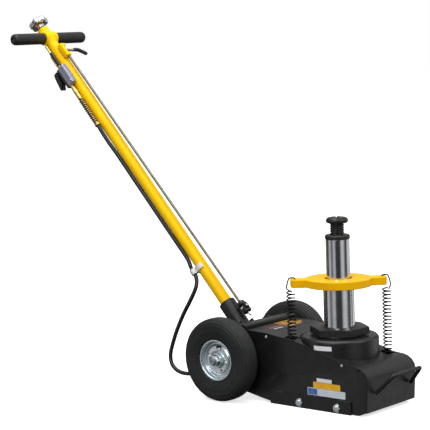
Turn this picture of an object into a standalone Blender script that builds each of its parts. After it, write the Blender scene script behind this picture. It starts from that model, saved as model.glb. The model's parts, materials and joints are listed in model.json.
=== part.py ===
"""Two-stage air and hydraulic axle jack on two wheels, in metres, +Z up.

The origin is on the floor under the ram. +X points forwards, from the axle to the ram, and the
handle leans back over -X. Left pieces stand at -Y and right pieces at +Y.
"""

from math import atan2, cos, hypot, pi, radians, sin, sqrt

import bmesh
import bpy
from mathutils import Euler, Vector

# Driving dimensions
gap = 0.0003
tyreRadius = 0.100
tyreWidth = 0.0505
halfTrack = 0.1400
axleX = -0.249
axleRadius = 0.0095
rimRadius = 0.0492

frameHalfWidth = 0.0955
plateThickness = 0.0035
sheetThickness = 0.0025
railThickness = 0.004

housingRadius = 0.0915
housingTop = 0.162
glandTop = 0.182
stage1Radius = 0.0363
stage1Bottom = 0.112
stage1Top = 0.2765
stage2Radius = 0.0278
stage2Bottom = 0.215
stage2Top = 0.3868
liftPlateThickness = 0.0190
liftPlateRadius = 0.0775
liftPlateReach = 0.112
collarRadius = 0.0293
collarTop = 0.397
screwRadius = 0.0170
saddleBottom = 0.4245
saddleTop = 0.438
saddleRadius = 0.0258

springBearing = radians(42.3)
springReach = 0.112
springRadius = 0.0098
springWire = 0.0012
springPitch = 0.0085

handleAngle = radians(48)
tubeRadius = 0.015
socketRadius = 0.0212
tubeTop = 1.066
barHeight = 1.0345
barHalfLength = 0.1245
gripRadius = 0.015
rodRadius = 0.0034
hoseRadius = 0.0052
valveLine = (-0.0030, -0.0250)

black = (0.012, 0.012, 0.013)
yellow = (0.86, 0.50, 0.012)
chrome = (0.62, 0.62, 0.63)
zinc = (0.50, 0.56, 0.62)
steel = (0.33, 0.33, 0.34)
brass = (0.52, 0.36, 0.10)
rubber = (0.010, 0.010, 0.011)


def clearScene():
    for item in list(bpy.data.objects):
        bpy.data.objects.remove(item, do_unlink=True)


def finish(name, colour, roughness, metallic):
    """The material of one piece."""
    made = bpy.data.materials.new(name)
    made.use_nodes = True
    shader = made.node_tree.nodes["Principled BSDF"]
    shader.inputs["Base Color"].default_value = (*colour, 1.0)
    shader.inputs["Roughness"].default_value = roughness
    shader.inputs["Metallic"].default_value = metallic
    return made


looks = {
    "paint": (black, 0.38, 0.0),
    "yellow": (yellow, 0.35, 0.0),
    "chrome": (chrome, 0.12, 1.0),
    "zinc": (zinc, 0.30, 1.0),
    "steel": (steel, 0.35, 1.0),
    "brass": (brass, 0.30, 1.0),
    "rubber": (rubber, 0.65, 0.0),
    "hose": (rubber, 0.50, 0.0),
    "seal": (rubber, 0.45, 0.0),
    "blackened": (black, 0.42, 0.6),
}


def link(name, data, look, parent=None, at=(0, 0, 0), turn=(0, 0, 0)):
    """An object with its own material, stood at a place under an optional parent."""
    data.materials.append(finish(name, *looks[look]))
    made = bpy.data.objects.new(name, data)
    bpy.context.scene.collection.objects.link(made)
    made.parent = parent
    made.location = at
    made.rotation_euler = turn
    return made


def meshed(name, work, look, smooth=True, **place):
    """A mesh object from bmesh work, with its faces turned outwards."""
    bmesh.ops.recalc_face_normals(work, faces=work.faces)
    data = bpy.data.meshes.new(name)
    work.to_mesh(data)
    work.free()
    if smooth:
        data.shade_smooth()
        data.set_sharp_from_angle(angle=radians(35))
    return link(name, data, look, **place)


def revolve(work, section, segments, ring):
    """Turns a section of (radius, height) points about Z. A ring's section closes on itself."""
    rows = []
    for radius, height in section:
        if radius == 0:
            rows.append([work.verts.new((0, 0, height))])
            continue
        row = []
        for step in range(segments):
            angle = 2 * pi * step / segments
            row.append(work.verts.new((radius * cos(angle), radius * sin(angle), height)))
        rows.append(row)
    pairs = list(zip(rows, rows[1:]))
    if ring:
        pairs.append((rows[-1], rows[0]))
    for low, high in pairs:
        for step in range(segments):
            after = (step + 1) % segments
            corners = [low[step % len(low)], low[after % len(low)]]
            corners += [high[after % len(high)], high[step % len(high)]]
            face = list(dict.fromkeys(corners))
            if len(face) > 2:
                work.faces.new(face)


def turned(name, section, look, segments=32, **place):
    """A turned piece: a solid when its section starts on the axis, otherwise a ring."""
    work = bmesh.new()
    revolve(work, section, segments, ring=section[0][0] != 0)
    return meshed(name, work, look, **place)


def prism(name, outline, low, high, look, along="Z", smooth=False, **place):
    """An outline extruded along Z, or an (x, z) outline extruded along Y."""
    work = bmesh.new()
    ends = []
    for level in (low, high):
        if along == "Z":
            ends.append([work.verts.new((a, b, level)) for a, b in outline])
        else:
            ends.append([work.verts.new((a, level, b)) for a, b in outline])
    work.faces.new(ends[0])
    work.faces.new(ends[1])
    for step in range(len(outline)):
        after = (step + 1) % len(outline)
        work.faces.new([ends[0][step], ends[0][after], ends[1][after], ends[1][step]])
    return meshed(name, work, look, smooth=smooth, **place)


def rectangle(low, high):
    return [(low[0], low[1]), (high[0], low[1]), (high[0], high[1]), (low[0], high[1])]


def block(name, low, high, look, bevel=0.0, **place):
    """A box between two corners, with an optional rounded edge."""
    made = prism(name, rectangle(low, high), low[2], high[2], look, **place)
    if bevel:
        round_edges(made, bevel)
    return made


def round_edges(made, width, segments=2):
    edge = made.modifiers.new("edge", "BEVEL")
    edge.width = width
    edge.segments = segments
    edge.limit_method = "ANGLE"


def shape_with(made, other, operation):
    """Cuts or joins another object's shape into this one, and hides the other."""
    joint = made.modifiers.new(other.name, "BOOLEAN")
    joint.operation = operation
    joint.solver = "EXACT"
    joint.object = other
    other.hide_render = True
    other.display_type = "WIRE"


def drill(made, radius, low, high, segments=24, **place):
    """Cuts a round hole between two heights of the cutter's own Z axis."""
    section = [(0, low), (radius, low), (radius, high), (0, high)]
    shape_with(made, turned(made.name + "_hole", section, "steel", segments, **place), "DIFFERENCE")


def smooth_route(points, steps):
    """Points on a smooth curve through the given ones."""
    ends = [2 * Vector(points[0]) - Vector(points[1])]
    ends += [Vector(point) for point in points]
    ends += [2 * ends[-1] - ends[-2]]
    route = []
    for a, b, c, d in zip(ends, ends[1:], ends[2:], ends[3:]):
        for step in range(steps):
            t = step / steps
            middle = 2 * b + (c - a) * t + (2 * a - 5 * b + 4 * c - d) * t * t
            route.append((middle + (3 * b - a - 3 * c + d) * t**3) / 2)
    route.append(ends[-2])
    return route


def round_bar(name, points, radius, look, sides=2, **place):
    """A round bar, wire or hose along the points, with closed ends."""
    curve = bpy.data.curves.new(name, "CURVE")
    curve.dimensions = "3D"
    curve.bevel_depth = radius
    curve.bevel_resolution = sides
    curve.use_fill_caps = True
    line = curve.splines.new("POLY")
    line.points.add(len(points) - 1)
    for spot, point in zip(line.points, points):
        spot.co = (*point, 1.0)
    return link(name, curve, look, **place)


def hexagon(acrossCorners, turn=0.0):
    corners = [turn + step * pi / 3 for step in range(6)]
    return [(acrossCorners * cos(angle), acrossCorners * sin(angle)) for angle in corners]


def offset_line(points, distance):
    """The line moved to its right-hand side by a distance, keeping its corners."""
    moved = []
    for step, point in enumerate(points):
        before = Vector(points[max(step - 1, 0)])
        after = Vector(points[min(step + 1, len(points) - 1)])
        here = Vector(point)
        first = (here - before).normalized() if step else (after - here).normalized()
        last = (after - here).normalized() if step < len(points) - 1 else first
        across = Vector((first.y, -first.x))
        side = (across + Vector((last.y, -last.x))).normalized()
        moved.append(tuple(here + side * distance / max(side.dot(across), 0.3)))
    return moved


def handle_pivot():
    """The empty on the axle that every handle piece hangs from: its Z runs up the handle."""
    pivot = bpy.data.objects.new("handle_pivot", None)
    bpy.context.scene.collection.objects.link(pivot)
    pivot.location = (axleX, 0, tyreRadius)
    pivot.rotation_euler = (0, handleAngle - pi / 2, 0)
    return pivot


def sheet_line():
    """The outer face of the top and front sheets, from the rear edge to the front foot."""
    top = [(-0.203, 0.1680), (-0.146, 0.1660), (-0.110, 0.1610), (-0.078, 0.1585)]
    top += [(-0.051, 0.1530), (0.085, 0.1150), (0.100, 0.1135)]
    front = [(0.114, 0.1122), (0.127, 0.1085), (0.137, 0.1020), (0.1440, 0.0925)]
    front += [(0.1470, 0.0815), (0.1450, 0.0560), (0.1425, 0.0090)]
    return top, front


def frame_plates():
    """Side plates, their bolted foot rails, and the base plate between them."""
    top, front = sheet_line()
    inner = offset_line(top + front, sheetThickness + gap)
    rear = [(-0.318, 0.060), (-0.318, 0.148), (-0.302, 0.1652)]
    under = [(0.1400, 0.009), (0.118, 0.0015), (-0.120, 0.0015), (-0.165, 0.009), (-0.212, 0.018)]
    outline = rear + [(-0.2055, 0.1652)] + inner[:-1] + [(inner[-1][0], 0.0095)] + under
    for side, name in ((-1, "left"), (1, "right")):
        inside = side * (frameHalfWidth - plateThickness)
        outside = side * frameHalfWidth
        plate = prism("side_plate_" + name, outline, inside, outside, "paint", along="Y")
        across = (pi / 2, 0, 0)
        hole = axleRadius + gap
        drill(plate, hole, -0.2, 0.2, at=(axleX, 0, tyreRadius), turn=across)
        rail = rectangle((-0.134, 0), (0.100, 0.030))
        low = side * (frameHalfWidth + gap)
        high = side * (frameHalfWidth + railThickness)
        prism("side_rail_" + name, rail, low, high, "paint", along="Y")
        face = high + side * gap
        for x, spot in ((-0.046, "rear"), (0.062, "front")):
            head = [(0, 0), (0.0098, 0), (0.0098, 0.0012), (0.0076, 0.0012)]
            head += [(0.0076, 0.0058), (0.0066, 0.0066), (0, 0.0066)]
            where = {"at": (x, face, 0.0125), "turn": (-side * pi / 2, 0, 0)}
            turned(f"rail_bolt_{spot}_{name}", head, "zinc", 12, **where)
    width = frameHalfWidth - plateThickness - gap
    block("base_plate", (-0.120, -width, 0), (0.118, width, 0.010), "paint")


def covers():
    """The bent top sheet with its openings, the front sheet and the rear crossmember."""
    top, front = sheet_line()
    width = frameHalfWidth
    lid = top + offset_line(top + front, sheetThickness)[: len(top)][::-1]
    cover = prism("top_cover", lid, -width, width, "paint", along="Y")
    drill(cover, housingRadius + 0.001, 0, 0.3, 48)
    for side in (-1, 1):
        x = side * springReach * cos(springBearing)
        y = side * springReach * sin(springBearing)
        low = (x - 0.013, y - 0.016, 0.05)
        high = (x + 0.013, y + 0.014, 0.25)
        slot = block(f"spring_slot_{side}", low, high, "steel")
        shape_with(cover, slot, "DIFFERENCE")
    start = Vector(top[-1]) + (Vector(front[0]) - Vector(top[-1])).normalized() * gap
    nose = [tuple(start)] + front
    shell = nose + offset_line(nose, sheetThickness)[::-1]
    prism("front_cover", shell, -width, width, "paint", along="Y")
    member = [(-0.236, 0.1655), (-0.2065, 0.1655), (-0.2065, 0.1755)]
    member += [(-0.2095, 0.1785), (-0.233, 0.1785), (-0.236, 0.1755)]
    prism("rear_crossmember", member, -width, width, "paint", along="Y")


def carry_handle():
    """The bent rod on the front sheet that the jack is lifted and turned by."""
    foot = 0.1490
    route = [(foot, -0.070, 0.052), (foot + 0.018, -0.0625, 0.071), (foot + 0.034, -0.056, 0.0885)]
    route += [(foot + 0.039, -0.051, 0.0935), (foot + 0.041, -0.044, 0.0950)]
    route += [(x, -y, z) for x, y, z in reversed(route)]
    round_bar("carry_handle", route, 0.0046, "paint", sides=2)


def lift_cylinder():
    """The housing and reservoir, the pressure cylinder inside it and the hexagonal gland."""
    wall = housingRadius - 0.006
    lip = 0.0525
    section = [(housingRadius, 0.0103), (housingRadius, housingTop - 0.0025)]
    section += [(housingRadius - 0.0025, housingTop), (lip, housingTop), (lip, housingTop - 0.010)]
    section += [(wall, housingTop - 0.010), (wall, 0.0103)]
    housing = turned("cylinder_housing", section, "paint", 48)
    for side, low in ((-1, 0.128), (1, 0.098)):
        lug = rectangle((side * (housingRadius - 0.004), -0.006), (side * 0.124, 0.006))
        name = f"spring_lug_{side}"
        arm = prism(name, lug, low, low + 0.007, "paint", turn=(0, 0, springBearing))
        shape_with(housing, arm, "UNION")
    neck = 0.0443
    bore = 0.0385
    cup = [(0, 0.0103), (0.052, 0.0103), (0.052, 0.1647), (neck, 0.1647), (neck, 0.1497)]
    cup += [(bore, 0.1497), (bore, 0.0205), (0, 0.0205)]
    turned("hydraulic_cylinder", cup, "steel", 32)
    nut = prism("hex_gland", hexagon(0.0712, radians(-35)), 0.165, glandTop, "blackened")
    round_edges(nut, 0.0012)
    skirt = [(0, 0.150), (neck - gap, 0.150), (neck - gap, 0.170), (0, 0.170)]
    shape_with(nut, turned("gland_skirt", skirt, "steel", 32), "UNION")
    drill(nut, stage1Radius + gap, 0.1, 0.3, 32)


def first_stage():
    """The large ram with its seal, the gland nut at its mouth and the spring cross plate."""
    head = stage1Radius + 0.0018
    groove = stage1Radius - 0.001
    base = stage1Bottom
    section = [(0, base), (head, base), (head, base + 0.005), (groove, base + 0.005)]
    section += [(groove, base + 0.011), (head, base + 0.011), (head, base + 0.018)]
    section += [(stage1Radius, base + 0.019), (stage1Radius, stage1Top), (0.0319, stage1Top)]
    section += [(0.0319, 0.260), (0.0285, 0.260), (0.0285, base + 0.008), (0, base + 0.008)]
    turned("stage1_ram", section, "chrome", 32)
    seal = [(groove + gap, base + 0.0053), (head + 0.0001, base + 0.0053)]
    seal += [(head + 0.0001, base + 0.0107), (groove + gap, base + 0.0107)]
    turned("stage1_seal", seal, "seal", 32)
    ring = [(0.0316, 0.2603), (0.0316, 0.2945), (0.0281, 0.2945), (0.0281, 0.2603)]
    turned("stage1_gland_nut", ring, "blackened", 32)
    lift_plate()


def lift_plate():
    """A flat cast plate: a disc round the ram that runs out into two arms for the springs."""
    low = stage1Top + gap
    arm = 0.018
    corner = 0.008
    steps = 24
    half = []
    for step in range(steps + 1):
        along = liftPlateReach * cos(pi * step / steps)
        disc = sqrt(max(liftPlateRadius**2 - along**2, 0))
        across = (disc**4 + arm**4) ** 0.25
        past = abs(along) - (liftPlateReach - corner)
        if past > 0:
            across = arm - corner + sqrt(max(corner**2 - past**2, 0))
        half.append((along, across))
    outline = half + [(a, -b) for a, b in reversed(half)]
    high = low + liftPlateThickness
    plate = prism("lift_plate", outline, low, high, "yellow", turn=(0, 0, springBearing))
    drill(plate, 0.0320, 0.2, 0.4, 32)
    for side in (-1, 1):
        x = side * 0.101 * cos(springBearing)
        y = side * 0.101 * sin(springBearing)
        drill(plate, 0.0035, 0.2, 0.4, 12, at=(x, y, 0))


def second_stage():
    """The small ram with its collar and the bore for the saddle screw."""
    base = stage2Bottom
    head = stage2Radius + 0.0004
    bore = screwRadius + 0.0006
    section = [(0, base), (head, base), (head, base + 0.014)]
    section += [(stage2Radius, base + 0.015), (stage2Radius, stage2Top), (bore, stage2Top)]
    section += [(bore, 0.271), (0, 0.271)]
    turned("stage2_ram", section, "chrome", 32)
    low = stage2Top + gap
    ring = [(collarRadius - 0.0015, low), (collarRadius, low + 0.0015)]
    ring += [(collarRadius, collarTop - 0.0025), (collarRadius - 0.0025, collarTop)]
    ring += [(bore, collarTop), (bore, low)]
    turned("stage2_collar", ring, "blackened", 28)


def saddle():
    """The extension screw and its cross-grooved head, in one piece."""
    top = saddleTop
    section = [(0, 0.300), (screwRadius - 0.0015, 0.300), (screwRadius, 0.302)]
    section += [(screwRadius, saddleBottom), (saddleRadius - 0.002, saddleBottom)]
    section += [(saddleRadius, saddleBottom + 0.002), (saddleRadius, top - 0.004)]
    section += [(saddleRadius - 0.0035, top), (0, top)]
    made = turned("saddle_screw", section, "blackened", 24)
    for turn in (0, pi / 2):
        bar = rectangle((-0.05, -0.0022), (0.05, 0.0022))
        angle = springBearing + turn
        depth = {"low": top - 0.003, "high": top + 0.01, "look": "steel"}
        groove = prism(f"groove_{turn:.0f}", bar, turn=(0, 0, angle), **depth)
        shape_with(made, groove, "DIFFERENCE")


def return_spring(name, side, low):
    """One extension spring from its housing lug to the end of the cross plate, with its hook."""
    top = stage1Top - 0.010
    turns = (top - low) / springPitch
    centre = springReach
    count = int(turns * 8)
    points = []
    for step in range(count + 1):
        angle = 2 * pi * turns * (step - count) / count
        reach = centre + springRadius * cos(angle)
        points.append((reach, springRadius * sin(angle), low + (top - low) * step / count))
    plateTop = stage1Top + gap + liftPlateThickness
    outer = liftPlateReach + 0.0055
    hook = [(outer + 0.0035, 0, top + 0.007), (outer + 0.0030, 0, top + 0.016)]
    hook += [(outer - 0.0005, 0, plateTop - 0.001), (outer - 0.0045, 0, plateTop + 0.0030)]
    hook += [(0.104, 0, plateTop + 0.0028), (0.101, 0, plateTop - 0.001)]
    hook.append((0.101, 0, plateTop - 0.008))
    turn = (0, 0, springBearing + (pi if side < 0 else 0))
    round_bar(name, points + hook, springWire, "blackened", sides=0, turn=turn)


def wheel(name, side):
    """A solid rubber tyre on a pressed rim that turns on a bush. The hub sits on the axle."""
    place = {"at": (axleX, side * halfTrack, tyreRadius), "turn": (-side * pi / 2, 0, 0)}
    half = tyreWidth / 2
    outer = tyreRadius
    edge = [(0.0505, 0.0183), (0.056, 0.0215), (0.068, 0.0243), (0.084, half)]
    edge += [(0.0925, half - 0.0030), (outer - 0.0025, half - 0.0080), (outer, half - 0.0150)]
    tread = edge + [(radius, -height) for radius, height in reversed(edge)]
    section = [(0.0476, 0.0183)] + tread + [(0.0476, -0.0183)]
    turned("tyre_" + name, section, "rubber", 40, **place)
    barrel = 0.0472
    lip = rimRadius
    section = [(lip, 0.0187), (lip, 0.0203), (barrel - 0.0012, 0.0207), (barrel - 0.0030, 0.0190)]
    section += [(barrel - 0.0040, 0.0085), (0.0385, 0.0075), (0.0330, 0.0125), (0.0215, 0.0130)]
    section += [(0.0165, 0.0095), (0.0165, 0.0200), (0.0131, 0.0200), (0.0131, -0.0225)]
    section += [(0.0165, -0.0225), (0.0165, 0.0065), (0.0225, 0.0100), (0.0320, 0.0095)]
    section += [(0.0380, 0.0045), (barrel - 0.0030, 0.0050), (barrel - 0.0030, -0.0190)]
    section += [(lip, -0.0203), (lip, -0.0187), (barrel, -0.0183), (barrel, 0.0183)]
    turned("rim_" + name, section, "zinc", 28, **place)
    bush = [(0.0128, -0.0215), (0.0128, 0.0190), (0.0099, 0.0190), (0.0099, -0.0215)]
    turned("wheel_bush_" + name, bush, "brass", 16, **place)


def axle():
    """The fixed axle bar and the lock nut at each end."""
    reach = halfTrack + 0.0330
    edge = 0.001
    bar = [(0, -reach), (axleRadius - edge, -reach), (axleRadius, edge - reach)]
    bar += [(axleRadius, reach - edge), (axleRadius - edge, reach), (0, reach)]
    across = (pi / 2, 0, 0)
    turned("axle", bar, "steel", 24, at=(axleX, 0, tyreRadius), turn=across)
    for side, name in ((-1, "left"), (1, "right")):
        low = halfTrack + 0.0206
        place = {"at": (axleX, side * low, tyreRadius), "turn": (-side * pi / 2, 0, 0)}
        nut = prism("axle_nut_" + name, hexagon(0.0135), 0, 0.009, "zinc", **place)
        drill(nut, axleRadius + gap, -0.01, 0.02, **place)


def power_unit():
    """The pump block, the air motor with its piston, the release spindle and the air inlet."""
    pump = block("pump_block", (-0.203, -0.045, 0.0200), (-0.120, 0.045, 0.072), "steel", bevel=0.002)
    spindle = {"at": (-0.180, 0.028, 0)}
    drill(pump, 0.0063, 0.045, 0.1, 16, **spindle)
    pin = [(0, 0.0460), (0.0058, 0.0460), (0.0058, 0.130), (0.0048, 0.131), (0, 0.131)]
    turned("release_spindle", pin, "steel", 16, **spindle)
    centre = {"at": (-0.158, 0, 0.114), "turn": (-pi / 2, 0, 0)}
    outside = 0.0385
    inside = 0.0345
    motor = [(outside, -0.070), (outside, 0.012), (0.0068, 0.012), (0.0068, 0.006)]
    motor += [(inside, 0.006), (inside, -0.070)]
    turned("air_motor_cylinder", motor, "steel", 24, **centre)
    piston = [(0, -0.050), (inside - gap, -0.050), (inside - gap, -0.040), (0.0062, -0.040)]
    piston += [(0.0062, 0.030), (0, 0.030)]
    turned("air_piston", piston, "steel", 24, **centre)
    neck = [(0, 0), (0.0105, 0), (0.0105, 0.010), (0.0072, 0.012), (0.0072, 0.026), (0, 0.026)]
    turned("air_inlet", neck, "brass", 16, at=(-0.3123, -0.052, 0.058), turn=(0, -pi / 2, 0))
    width = frameHalfWidth - plateThickness - gap
    block("rear_plate", (-0.312, -width, 0.040), (-0.307, width, 0.078), "paint")


def handle_lower(pivot):
    """The socket with the two ears that swing on the axle, and the lock sector between them."""
    body = [(0.0065, 0.052), (socketRadius - 0.0015, 0.052), (socketRadius, 0.054)]
    body += [(socketRadius, 0.143), (socketRadius - 0.0015, 0.145)]
    body += [(tubeRadius + gap, 0.145), (tubeRadius + gap, 0.064), (0.0065, 0.064)]
    socket = turned("handle_socket", body, "paint", 24, parent=pivot)
    ear = [(0.023, 0.075), (-0.023, 0.075)]
    for step in range(9):
        angle = pi + pi * step / 8
        ear.append((0.023 * cos(angle), 0.023 * sin(angle)))
    for side in (-1, 1):
        low = side * 0.0165
        high = side * 0.0225
        cheek = prism(f"socket_ear_{side}", ear, low, high, "paint", along="Y", parent=pivot)
        shape_with(socket, cheek, "UNION")
    across = (pi / 2, 0, 0)
    drill(socket, axleRadius + gap, -0.05, 0.05, parent=pivot, turn=across)
    drill(socket, tubeRadius + gap, 0.064, 0.2, 24, parent=pivot)
    sector = turned("lock_sector", lock_section(), "steel", 36, at=(axleX, 0, tyreRadius), turn=across)
    for lift in (-30, 0, 32):
        angle = handleAngle - pi / 2 + radians(lift)
        notch = {"at": (axleX, 0, tyreRadius), "turn": (0, angle, 0)}
        low = (-0.0058, -0.02, 0.036)
        slot = block(f"lock_notch_{lift}", low, (0.0058, 0.02, 0.06), "steel", **notch)
        shape_with(sector, slot, "DIFFERENCE")


def lock_section():
    inner = axleRadius + gap
    return [(inner, -0.008), (0.050, -0.008), (0.050, 0.008), (inner, 0.008)]


def handle_upper(pivot):
    """The long tube, the cross bar with its two grips, and the bracket for the release lever."""
    wall = 0.003
    inner = tubeRadius - wall
    body = [(tubeRadius, 0.0645), (tubeRadius, tubeTop), (inner, tubeTop), (inner, 0.0645)]
    tube = turned("handle_tube", body, "yellow", 24, parent=pivot)
    boss = [(0, -0.020), (0.0185, -0.020), (0.0185, 0.020), (0, 0.020)]
    across = {"parent": pivot, "at": (0, 0, barHeight), "turn": (-pi / 2, 0, 0)}
    shape_with(tube, turned("cross_boss", boss, "yellow", 24, **across), "UNION")
    drill(tube, inner - 0.001, 1.0, 1.1, 24, parent=pivot)
    barRadius = 0.0110
    drill(tube, barRadius + gap, -0.1, 0.1, 20, **across)
    bar = [(0, -barHalfLength), (barRadius, -barHalfLength)]
    bar += [(barRadius, barHalfLength), (0, barHalfLength)]
    cross = turned("cross_bar", bar, "steel", 20, **across)
    drill(cross, 0.0050, 0.9, 1.1, 16, parent=pivot)
    for side, name in ((-1, "left"), (1, "right")):
        end = barHalfLength + 0.0030
        start = 0.0210
        shell = [(barRadius + gap, start), (gripRadius - 0.001, start), (gripRadius, start + 0.001)]
        shell += [(gripRadius, end - 0.005), (gripRadius - 0.0015, end - 0.0015)]
        shell += [(gripRadius - 0.005, end), (0.003, end)]
        shell += [(0.003, barHalfLength + gap), (barRadius + gap, barHalfLength + gap)]
        where = {"parent": pivot, "at": (0, 0, barHeight), "turn": (-side * pi / 2, 0, 0)}
        turned("grip_" + name, shell, "rubber", 20, **where)
    low = (tubeRadius + gap, -0.0110, 0.949)
    high = (0.0310, 0.0070, 0.990)
    bracket = block("lever_bracket", low, high, "yellow", bevel=0.002, parent=pivot)
    slot = block("lever_slot", (0, -0.0082, 0.9600), (0.05, 0.02, 0.9820), "yellow", parent=pivot)
    shape_with(bracket, slot, "DIFFERENCE")
    drill(bracket, rodRadius + gap, 0.9, 1.1, 16, **rod_frame(pivot))


def rod_frame(pivot):
    """The release rod's own frame: its Z runs up the rod, which leans a little to the tube."""
    low = Vector((0.0345, 0, 0.119))
    high = Vector((0.0243, 0, 0.970))
    lean = atan2(high.x - low.x, high.z - low.z)
    start = low - (high - low).normalized() * low.z
    return {"parent": pivot, "at": tuple(start), "turn": (0, lean, 0)}


def release_gear(pivot):
    """The release rod with its joint at the bottom and its lever at the top, and the lock knob."""
    place = rod_frame(pivot)
    rod = [(0, 0.1225), (rodRadius, 0.1225), (rodRadius, 0.9627), (0, 0.9627)]
    turned("release_rod", rod, "chrome", 16, **place)
    cup = [(0, -0.0475), (rodRadius, -0.0475), (rodRadius, -0.0385), (0.0095, -0.0365)]
    cup += [(0.0122, -0.0310), (0.0122, -0.0140), (0.0095, -0.0055), (0.0060, -0.0015), (0, -0.0015)]
    lean = {"parent": pivot, "at": (0.0345, 0, 0.1222), "turn": (0, radians(-8), 0)}
    turned("universal_joint", cup, "blackened", 20, **lean)
    hub = [(0, 0.9630), (0.0072, 0.9630), (0.0072, 0.9790), (rodRadius, 0.9790)]
    hub += [(rodRadius, 0.9880), (0, 0.9880)]
    lever = turned("release_lever", hub, "chrome", 20, **place)
    leverX = 0.0243
    leverHeight = 0.9715
    stub = [(0, 0.002), (0.0036, 0.002), (0.0036, 0.0285), (0, 0.0285)]
    out = {"parent": pivot, "at": (leverX, 0, leverHeight), "turn": (-pi / 2 - radians(6), 0, 0)}
    shape_with(lever, turned("lever_stub", stub, "chrome", 16, **out), "UNION")
    bends = ((0.029, 0.0024), (0.038, 0.0014), (0.047, 0.0032), (0.057, 0.0094), (0.069, 0.0187))
    route = [(leverX, y, leverHeight - drop) for y, drop in bends]
    round_bar("lever_grip", route, 0.0050, "rubber", sides=3, parent=pivot)
    knob = bmesh.new()
    section = [(0, 1.0720), (0.0095, 1.0720), (0.011, 1.0790), (0.0220, 1.0800), (0.0245, 1.0845)]
    section += [(0.0245, 1.0920), (0.0220, 1.0965), (0.011, 1.0975), (0.009, 1.0990), (0, 1.0990)]
    revolve(knob, section, 36, ring=False)
    for spot in knob.verts:
        radius = hypot(spot.co.x, spot.co.y)
        if radius > 0.018:
            lobe = 1 + 0.10 * cos(6 * atan2(spot.co.y, spot.co.x))
            spot.co.x *= lobe
            spot.co.y *= lobe
    made = meshed("lock_knob", knob, "chrome", parent=pivot)
    pin = [(0, 0.0515), (0.0042, 0.0515), (0.0042, 1.075), (0, 1.075)]
    shape_with(made, turned("lock_pin", pin, "steel", 16, parent=pivot), "UNION")


def air_valve(pivot):
    """The trigger valve beside the tube: inlet, body, trigger, brass fitting and spring relief."""
    x, y = valveLine
    place = {"parent": pivot, "at": (x, y, 0)}
    inlet = [(0, 0.9330), (0.0055, 0.9330), (0.0055, 0.9400), (0.0066, 0.9410), (0.0066, 0.9740)]
    inlet += [(0.0042, 0.9760), (0.0042, 0.9830), (0.0032, 0.9850), (0.0032, 1.0100), (0, 1.0100)]
    turned("inlet_fitting", inlet, "brass", 20, **place)
    low = (x + 0.0065, y - 0.0085, 0.8725)
    high = (x + 0.0170, y + 0.0080, 0.9320)
    body = block("valve_body", low, high, "zinc", bevel=0.002, parent=pivot)
    low = (x - 0.0135, y - 0.0055, 0.8720)
    high = (x + 0.0080, y + 0.0055, 0.9327)
    shape_with(body, block("valve_stem", low, high, "zinc", parent=pivot), "UNION")
    paddle = [(-0.0168, 0.9300), (-0.0287, 0.9300), (-0.0330, 0.9180), (-0.0385, 0.8850)]
    paddle += [(-0.0365, 0.8820), (-0.0335, 0.8830), (-0.0265, 0.9150), (-0.0182, 0.9212)]
    prism("valve_trigger", paddle, y - 0.0080, y + 0.0080, "rubber", along="Y", parent=pivot)
    fitting = [(0, 0.8240), (0.0052, 0.8240), (0.0064, 0.8260), (0.0064, 0.8560)]
    fitting += [(0.0052, 0.8600), (0.0052, 0.8717), (0, 0.8717)]
    lean = {"parent": pivot, "at": (-0.0098, -0.0250, 0), "turn": (-0.0008, 0.0055, 0)}
    turned("hose_fitting", fitting, "brass", 16, **lean)
    relief = [(0, 0.7340), (0.0076, 0.7340), (0.0082, 0.7370), (0.0082, 0.8200), (0.0064, 0.8237)]
    relief += [(0, 0.8237)]
    turned("hose_relief_spring", relief, "blackened", 16, **lean)


def air_hose(pivot):
    """The hose along the handle, its clip, and the loop down to the inlet behind the wheel."""
    side = (-0.0172, -0.0132)
    run = [(-0.0058, -0.0244, 0.7335), (-0.0078, -0.0236, 0.715), (-0.0140, -0.0190, 0.680)]
    run += [(*side, 0.640), (*side, 0.560), (*side, 0.470), (*side, 0.380), (*side, 0.300)]
    run += [(-0.0186, -0.0170, 0.2735)]
    round_bar("air_hose_upper", smooth_route(run, 4), hoseRadius, "hose", sides=2, parent=pivot)
    clip = [(0.0192, 0.262), (0.0192, 0.252), (tubeRadius + gap, 0.252), (tubeRadius + gap, 0.262)]
    band = turned("hose_clip", clip, "rubber", 20, parent=pivot)
    eye = block("clip_eye", (-0.0265, -0.0262, 0.251), (-0.0100, -0.0120, 0.265), "rubber", parent=pivot)
    shape_with(band, eye, "UNION")
    drill(band, tubeRadius + gap, 0.2, 0.3, 20, parent=pivot)
    hole = {"parent": pivot, "at": (-0.0188, -0.0178, 0)}
    drill(band, hoseRadius + 0.0017, 0.2, 0.3, 16, **hole)


def hose_loop(pivot):
    """The free loop between the clip on the handle and the inlet at the rear, in world space."""
    frame = Euler((0, handleAngle - pi / 2, 0)).to_matrix()
    origin = Vector((axleX, 0, tyreRadius))
    held = [origin + frame @ Vector((-0.0188, -0.0178, height)) for height in (0.271, 0.257)]
    points = [tuple(spot) for spot in held] + [(-0.4278, -0.0194, 0.2700), (-0.4215, -0.0240, 0.2545)]
    points += [(-0.4225, -0.030, 0.2366), (-0.4345, -0.036, 0.2095), (-0.4540, -0.042, 0.1735)]
    points += [(-0.4715, -0.048, 0.1337), (-0.4845, -0.053, 0.0949), (-0.4885, -0.057, 0.0680)]
    points += [(-0.4800, -0.060, 0.0460), (-0.4590, -0.061, 0.0325), (-0.4300, -0.060, 0.0295)]
    points += [(-0.3980, -0.058, 0.0360), (-0.3680, -0.054, 0.0495), (-0.3400, -0.052, 0.0580)]
    round_bar("air_hose_loop", smooth_route(points, 4), hoseRadius, "hose", sides=2)


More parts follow.
